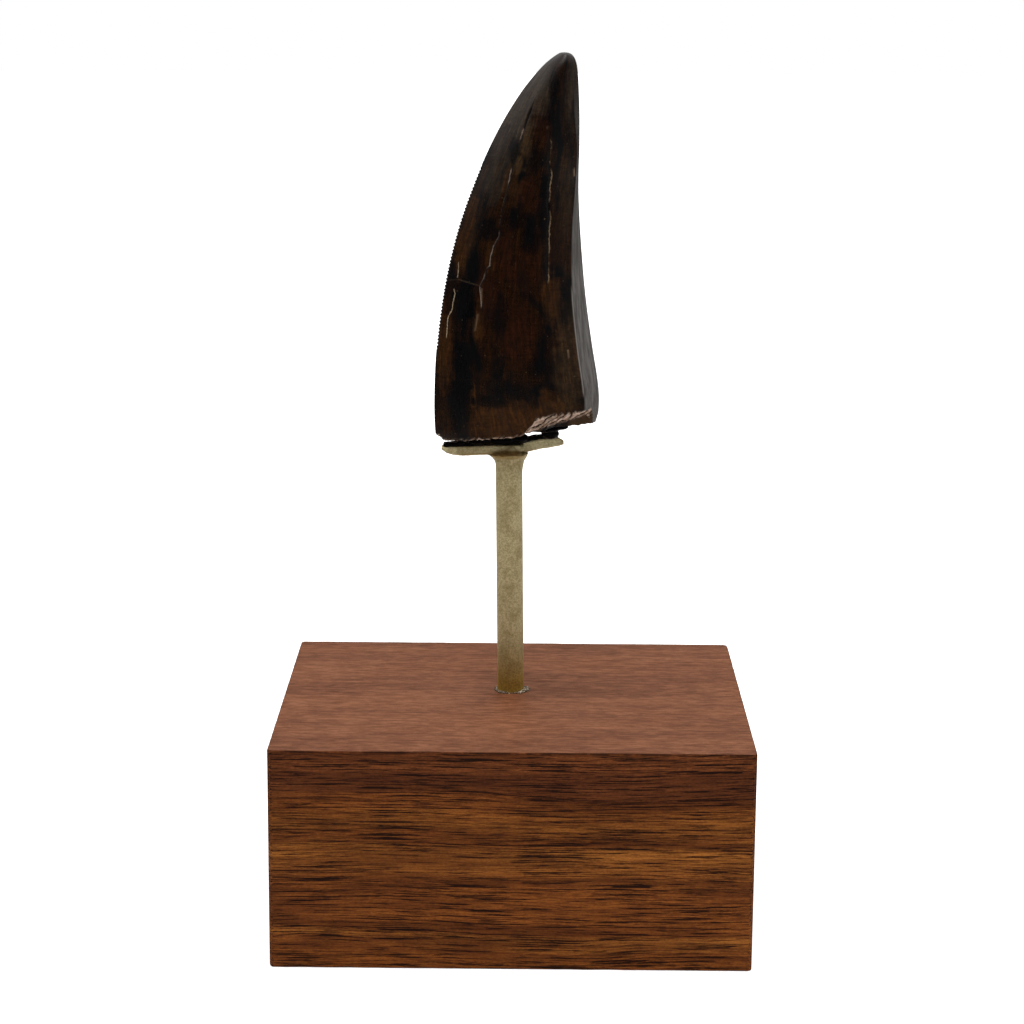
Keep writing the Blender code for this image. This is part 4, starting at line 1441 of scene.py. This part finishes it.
def tooth_mesh(settings):
    """The crown at full detail: denticles, cracks with their steps, flutes, and the chipped, broken base."""
    shares, lengths, phase, serrated = crown_rows(settings)
    places = crown_places(shares)
    rows, columns = places.shape
    share_grid = np.repeat(shares[:, None], columns, axis=1)

    rim = crown_point(np.zeros(columns), places[0])
    above = crown_point(np.full(columns, BREAK_SETTLE_SHARE), places[0])
    wanted = break_height(rim[:, 0], rim[:, 1], np.ones(columns), settings.chip_height)
    lift = (wanted - rim[:, 2]) / (above[:, 2] - rim[:, 2]) * BREAK_SETTLE_SHARE
    settled = lift + share_grid * (1 - lift / BREAK_SETTLE_SHARE)
    share_grid = np.where(share_grid < BREAK_SETTLE_SHARE, settled, share_grid)
    points = crown_point(share_grid, places)

    steps = np.linalg.norm(np.roll(points, -1, axis=1) - points, axis=-1)
    around = np.concatenate([np.zeros((rows, 1)), np.cumsum(steps, axis=1)[:, :-1]], axis=1)
    girth = steps.sum(axis=1, keepdims=True)

    down = np.gradient(points, axis=0)
    aside = (np.roll(points, -1, axis=1) - np.roll(points, 1, axis=1)) / 2
    outward = np.cross(aside, down)
    outward /= np.maximum(np.linalg.norm(outward, axis=-1, keepdims=True), 1e-12)

    lip = np.zeros((rows, columns))
    height = np.zeros((rows, columns))
    cracks = []
    centre_columns = np.cumsum(FRONT_SPANS)[:3]
    depth = settings.crack_depth
    ridge_column = sum(FRONT_SPANS)
    front_girth = around[:, ridge_column : ridge_column + 1]
    round_front = around / front_girth * GROWN_FRONT
    round_back = GROWN_FRONT + (around - front_girth) / (girth - front_girth) * GROWN_BACK
    turned = np.where(around < front_girth, round_front, round_back)
    grown = np.stack([turned, np.repeat(lengths[:, None], columns, axis=1), np.zeros_like(around)], axis=-1)

    for number, (path, column) in enumerate(zip((CRACK_MESIAL, CRACK_MIDDLE, CRACK_DISTAL), centre_columns)):
        offset = around - around[:, column : column + 1]
        pale, dark = (np.broadcast_to(crack_value(path, shares, k)[:, None], offset.shape) for k in (2, 3))
        cracks.append(np.stack([offset / MM, pale, dark], axis=-1))
        shown = fade_along(path, shares)[:, None]
        if number == 0:
            height -= 0.6 * depth * line_mask(offset, 0.00012) * dark
        elif number == 1:
            low_side = smooth_step(-0.00004, 0.00008, offset) * np.exp(-np.maximum(offset, 0) / 0.0012)
            height -= 0.55 * depth * low_side * shown
            height -= 0.9 * depth * line_mask(offset, 0.00014) * dark * (shares > 0.80)[:, None]
        else:
            low_side = smooth_step(0.00004, -0.00008, offset) * np.exp(np.minimum(offset, 0) / 0.0016)
            height -= 0.9 * depth * low_side * shown

    for start, finish, width, strength in SCRATCHES:
        scratch = scratch_mask(start, finish, width, places, around, lengths, shares)
        lip = np.maximum(lip, strength * scratch)
    ridge = line_mask(around - front_girth, 0.00009) * fade_along(RIDGE_LINE, shares)[:, None]
    facet = smooth_step(1.0, 1.012, places) * smooth_step(1.50, 1.30, places)
    upwards = (0.5 + 0.5 * smooth_step(0.76, 0.68, shares)) * smooth_step(0.94, 0.80, shares)
    facet = facet * upwards[:, None]

    flutes = rough(grown * np.array([1, 0.10, 1]), 420.0, 2.0)
    ripples = rough(grown * np.array([1, 0.12, 1]), 1300.0, 5.0)
    settle = smooth_step(0.99, 0.93, share_grid)
    height += (0.00005 * flutes + 0.000012 * ripples) * settle

    cut = 0.5 - 0.5 * np.cos(math.tau * phase)
    cut = np.where(serrated, 1 - smooth_step(0.10, 0.42, cut), 0.0)
    ends = smooth_step(0, 2.5, phase) * smooth_step(
        phase[serrated].max(), phase[serrated].max() - 2.5, phase
    )
    cut = (cut * ends)[:, None]
    from_edge = np.minimum(around, girth - around)
    middle = (crown_point(shares, np.full(rows, 0.5)) + crown_point(shares, np.full(rows, 1.5))) / 2
    inward = points[:, :1] - middle[:, None]
    inward /= np.maximum(np.linalg.norm(inward, axis=-1, keepdims=True), 1e-12)
    bite = settings.denticle_depth * cut * smooth_step(0.00055, 0.0, from_edge)

    points = points + outward * height[..., None] - inward * bite[..., None]

    broken = smooth_step(
        0.00035, 0.0, points[..., 2] - wanted[None, :] + 0.00012 * rough(points, 2600.0, 4.0)
    )
    broken = np.where(np.arange(rows)[:, None] < BROKEN_ROWS, broken, 0.0)
    ragged = smooth_step(-0.25, 0.25, rough(points * np.array([1, 1, 2]), 1500.0, 7.0))
    broken = broken * (0.35 + 0.65 * ragged) * smooth_step(0.0136, 0.0124, points[..., 0])

    tip = crown_point(np.array([1.0]), np.array([0.0]))
    cut_shade = 0.8 * cut * smooth_step(0.0008, 0.0002, from_edge)
    wall_masks = {
        # crack holds the painted shade in the cuts between the denticles
        "crack": cut_shade,
        "lip": lip,
        "broken": broken,
        "facet": facet,
        "ridge": 0.75 * ridge,
    }
    vectors = dict(zip(("mesial_crack", "middle_crack", "distal_crack"), cracks))
    vectors["grown"] = grown / MM
    base_points, base_masks, base_torn = base_rings(points[0], settings.chip_height)
    near_rim = fresh_fibres(points[:FIBRE_ROWS])
    near_rim[..., 1] = np.maximum(near_rim[..., 1], 0.6)
    vectors["torn"] = np.concatenate([near_rim, np.zeros((rows - FIBRE_ROWS, columns, 3))])
    return join_tooth(points[:-1], tip, base_points, wall_masks, base_masks, vectors, base_torn)


def base_rings(rim, chip_height):
    """Rings from the rim to the middle of the broken base, with their masks."""
    centre = rim.mean(axis=0)
    edge_shares = np.concatenate([np.linspace(0.985, 0.42, 26), np.linspace(0.38, 0.06, 8)])
    rings = []
    for edge_share in edge_shares:
        ring = centre + (rim - centre) * edge_share
        ring[:, 2] = break_height(ring[:, 0], ring[:, 1], np.full(len(rim), edge_share), chip_height)
        rings.append(ring)
    rings = np.array(rings)
    return rings, {"broken": np.ones(rings.shape[:2])}, fresh_fibres(rings)


def fresh_fibres(points):
    """At each point, the count of fibres across, how fresh the break is, and how blackened by bedding and
    painted shade.
    """
    x, z = points[..., 0], points[..., 2]
    fresh = smooth_step(-0.00015, 0.00020, above_fresh_line(x, z) - 0.0001 * rough(points, 1800.0, 2.0))
    left, left_full, right_full, right = BLACKENED_AND_SHADED
    black = smooth_step(left, left_full, x) * smooth_step(right, right_full, x)
    return np.stack([fibre_phase(x, z), fresh, black], axis=-1)


def join_tooth(wall, tip, base, wall_masks, base_masks, vectors, base_torn):
    """One mesh from the base's rings, the wall and the tip, with the masks stored on its points."""
    rings = np.concatenate([base[::-1], wall])
    rows, columns, _ = rings.shape
    mesh = mesh_from_grid("fossil_tooth", rings)
    shape = bmesh.new()
    shape.from_mesh(mesh)
    verts = list(shape.verts)
    top = shape.verts.new(tip[0])
    bottom = shape.verts.new(rings[0].mean(axis=0))
    last_ring = (rows - 1) * columns
    for c in range(columns):
        n = (c + 1) % columns
        shape.faces.new((verts[last_ring + c], verts[last_ring + n], top))
        shape.faces.new((verts[n], verts[c], bottom))
    bmesh.ops.recalc_face_normals(shape, faces=shape.faces)
    shape.to_mesh(mesh)
    shape.free()

    blank = np.zeros((len(base), columns))
    for name, values in wall_masks.items():
        below = base_masks.get(name, blank)[::-1]
        values = np.concatenate([below, values[: len(wall)]]).ravel()
        attribute = mesh.attributes.new(name, "FLOAT", "POINT")
        attribute.data.foreach_set("value", np.append(values, [values[-1], values[0]]).astype(np.float32))
    far_away = np.broadcast_to([5.0, 0.0, 0.0], base.shape)
    on_base = {"grown": base[::-1] / MM, "torn": base_torn[::-1]}
    for name, values in vectors.items():
        below = on_base.get(name, far_away)
        values = np.concatenate([below, values[: len(wall)]]).reshape(-1, 3)
        values = np.concatenate([values, [values[-1], values[0]]])
        attribute = mesh.attributes.new(name, "FLOAT_VECTOR", "POINT")
        attribute.data.foreach_set("vector", values.astype(np.float32).ravel())
    mesh.shade_smooth()
    mesh.set_sharp_from_angle(angle=math.radians(50))
    return mesh


# The stage


# Brightness of the surroundings, and where they begin, as heights on a unit sphere: (begins, full)
OVERHEAD_LEVEL = 1.15
OVERHEAD_AT_SIDES = (0.12, 0.66)
OVERHEAD_IN_FRONT = (0.50, 0.90)
LOW_LEVEL = 0.03
LOW_LEVEL_RIGHT = 0.22
ZENITH_LEVEL = 3.0
SOFTBOX_LEVEL = 1.9
SOFTBOX_DIRECTION = (-0.04, -0.42, 0.906)


def world_light(strength):
    """A pale dome overhead that begins lower at the sides than in front, and a softbox high in front."""
    world = bpy.data.worlds.new("Pale studio")
    bpy.context.scene.world = world
    world.use_nodes = True
    tree = world.node_tree
    direction = add_node(tree, "ShaderNodeTexCoord").outputs["Generated"]
    parts = split(tree, direction)
    in_front = remap(tree, parts["Y"], -0.10, -0.66)
    begins = remap(tree, in_front, 0.0, 1.0, OVERHEAD_AT_SIDES[0], OVERHEAD_IN_FRONT[0])
    full = remap(tree, in_front, 0.0, 1.0, OVERHEAD_AT_SIDES[1], OVERHEAD_IN_FRONT[1])
    dome = remap(tree, parts["Z"], begins, full, 0.0, OVERHEAD_LEVEL)
    low = remap(tree, parts["X"], 0.2, 0.9, LOW_LEVEL, LOW_LEVEL_RIGHT)
    towards = add_node(tree, "ShaderNodeVectorMath", operation="DOT_PRODUCT")
    feed(tree, towards.inputs[0], direction)
    feed(tree, towards.inputs[1], SOFTBOX_DIRECTION)
    softbox = remap(tree, towards.outputs["Value"], 0.92, 0.98, 0.0, SOFTBOX_LEVEL)
    zenith = remap(tree, parts["Z"], 0.92, 0.98, 0.0, ZENITH_LEVEL)
    level = calc(tree, "ADD", calc(tree, "MAXIMUM", dome, low), calc(tree, "ADD", softbox, zenith))
    level = calc(tree, "MULTIPLY", level, strength)
    seen = add_node(tree, "ShaderNodeLightPath").outputs["Is Camera Ray"]
    shown = calc(tree, "MAXIMUM", level, seen)
    colour = add_node(tree, "ShaderNodeCombineColor")
    for socket in colour.inputs[:3]:
        feed(tree, socket, shown)
    feed(tree, tree.nodes["Background"].inputs["Color"], colour.outputs[0])


def floor_material(settings):
    """A pale floor that looks white to the camera and bounces light only close to the block."""
    material, tree, shader = new_material("Pale floor")
    place = add_node(tree, "ShaderNodeTexCoord").outputs["Object"]
    away = add_node(tree, "ShaderNodeVectorMath", operation="LENGTH")
    feed(tree, away.inputs[0], place)
    near = remap(tree, away.outputs["Value"], 0.30, 0.15)
    grain = noise_value(tree, place, 900.0, detail=3.0)
    pale = tint(tree, grain, 0.03, settings.floor_colour, (0.8, 0.8, 0.8))
    bounced = blend(tree, near, (0.04, 0.04, 0.04), (0.85, 0.85, 0.85))
    seen = add_node(tree, "ShaderNodeLightPath").outputs["Is Camera Ray"]
    feed(tree, shader.inputs["Base Color"], blend(tree, seen, bounced, pale))
    feed(tree, shader.inputs["Emission Color"], (1, 1, 1))
    feed(tree, shader.inputs["Emission Strength"], calc(tree, "MULTIPLY", seen, 0.55))
    shader.inputs["Roughness"].default_value = 0.9
    shader.inputs["Specular IOR Level"].default_value = 0.1
    return material


def add_floor(settings):
    shape = bmesh.new()
    bmesh.ops.create_circle(shape, cap_ends=True, segments=96, radius=3.0)
    floor = bpy.data.objects.new("studio_floor", finished("studio_floor", shape))
    floor.location.z = BLOCK_LOW.z
    bpy.context.scene.collection.objects.link(floor)
    floor.data.materials.append(floor_material(settings))


# Camera, placed and turned as the photograph was taken
CAMERA_PLACE = (0.00161, -0.45608, 0.17239)
CAMERA_YAW = -0.0045685
CAMERA_PITCH = 0.2158283
CAMERA_ROLL = 0.0073304


def add_camera(settings):
    data = bpy.data.cameras.new("Camera")
    data.sensor_width = 36.0
    data.lens = settings.lens
    data.clip_start = 0.01
    camera = bpy.data.objects.new("Camera", data)
    bpy.context.scene.collection.objects.link(camera)
    level = Matrix.Rotation(math.pi / 2, 4, "X")
    pitched = Matrix.Rotation(-CAMERA_PITCH, 4, "X")
    rolled = Matrix.Rotation(CAMERA_ROLL, 4, "Z")
    turned = Matrix.Rotation(-CAMERA_YAW, 4, "Z")
    camera.matrix_world = Matrix.Translation(CAMERA_PLACE) @ turned @ level @ pitched @ rolled
    bpy.context.scene.camera = camera


class TOOTHSTAND_OT_stage(bpy.types.Operator):
    """Add the floor, the soft light and the camera"""

    bl_idname = "toothstand.add_stage"
    bl_label = "Add Stage"

    def execute(self, context):
        settings = context.scene.tooth_stage
        context.scene.view_settings.view_transform = "Standard"
        world_light(settings.light_strength)
        add_floor(settings)
        add_camera(settings)
        return {"FINISHED"}


class TOOTHSTAND_OT_effects(bpy.types.Operator):
    """Make the shader groups that the materials share"""

    bl_idname = "toothstand.make_effects"
    bl_label = "Make Shared Effects"

    def execute(self, context):
        make_streak_group()
        make_patch_group()
        make_crack_group()
        make_blotch_group()
        return {"FINISHED"}


class TOOTHSTAND_OT_block(bpy.types.Operator):
    """Add the wooden block"""

    bl_idname = "toothstand.add_block"
    bl_label = "Add Block"

    def execute(self, context):
        settings = context.scene.tooth_stand
        add_piece("wood_block", block_mesh(settings), wood_material(settings), "base_block")
        return {"FINISHED"}


class TOOTHSTAND_OT_post(bpy.types.Operator):
    """Add the brass post and the glue round its foot"""

    bl_idname = "toothstand.add_post"
    bl_label = "Add Post"

    def execute(self, context):
        settings = context.scene.tooth_stand
        brass = brass_material(settings, "Dull drawn brass", 1.0, 0.80)
        add_piece("brass_rod", post_mesh(settings), brass, "brass_post")
        add_piece("glue_ring", glue_mesh(settings), glue_material(), "socket_glue")
        return {"FINISHED"}


class TOOTHSTAND_OT_cradle(bpy.types.Operator):
    """Add the two cradle bars and the black bedding on them"""

    bl_idname = "toothstand.add_cradle"
    bl_label = "Add Cradle"

    def execute(self, context):
        settings = context.scene.tooth_stand
        brass = brass_material(settings, "Filed brass", 0.86, 0.70)
        left = bar_mesh("filed_bar_left", ARM_LEFT_STATIONS, math.pi, settings, LEFT_BEADS, 1.0)
        heading = ARM_RIGHT_HEADING
        right = bar_mesh("filed_bar_right", ARM_RIGHT_STATIONS, heading, settings, RIGHT_BEADS, 7.0)
        add_piece("filed_bar_left", left, brass, "cradle_arm_left")
        add_piece("filed_bar_right", right, brass, "cradle_arm_right")
        add_piece(
            "setting_compound",
            bedding_mesh(settings),
            bedding_material(settings),
            "black_bedding",
        )
        return {"FINISHED"}


class TOOTHSTAND_OT_tooth(bpy.types.Operator):
    """Add the fossil tooth"""

    bl_idname = "toothstand.add_tooth"
    bl_label = "Add Tooth"

    def execute(self, context):
        settings = context.scene.tooth_fossil
        add_piece("fossil_tooth", tooth_mesh(settings), enamel_material(settings), "tooth")
        return {"FINISHED"}


class TOOTHSTAND_PT_panel(bpy.types.Panel):
    """Lists the pieces of the display"""

    bl_idname = "TOOTHSTAND_PT_panel"
    bl_label = "Fossil Tooth"
    bl_space_type = "VIEW_3D"
    bl_region_type = "UI"
    bl_category = "Fossil Tooth"

    def draw(self, context):
        for operator in OPERATORS:
            self.layout.operator(operator.bl_idname)


OPERATORS = (
    TOOTHSTAND_OT_effects,
    TOOTHSTAND_OT_stage,
    TOOTHSTAND_OT_block,
    TOOTHSTAND_OT_post,
    TOOTHSTAND_OT_cradle,
    TOOTHSTAND_OT_tooth,
)
CLASSES = (StandSettings, ToothSettings, StageSettings, *OPERATORS, TOOTHSTAND_PT_panel)


def register():
    for cls in CLASSES:
        bpy.utils.register_class(cls)
    bpy.types.Scene.tooth_stand = bpy.props.PointerProperty(type=StandSettings)
    bpy.types.Scene.tooth_fossil = bpy.props.PointerProperty(type=ToothSettings)
    bpy.types.Scene.tooth_stage = bpy.props.PointerProperty(type=StageSettings)


def unregister():
    del bpy.types.Scene.tooth_stage
    del bpy.types.Scene.tooth_fossil
    del bpy.types.Scene.tooth_stand
    for cls in reversed(CLASSES):
        bpy.utils.unregister_class(cls)


def main():
    register()
    bpy.ops.toothstand.make_effects()
    bpy.ops.toothstand.add_stage()
    bpy.ops.toothstand.add_block()
    bpy.ops.toothstand.add_post()
    bpy.ops.toothstand.add_cradle()
    bpy.ops.toothstand.add_tooth()


if __name__ == "__main__":
    main()
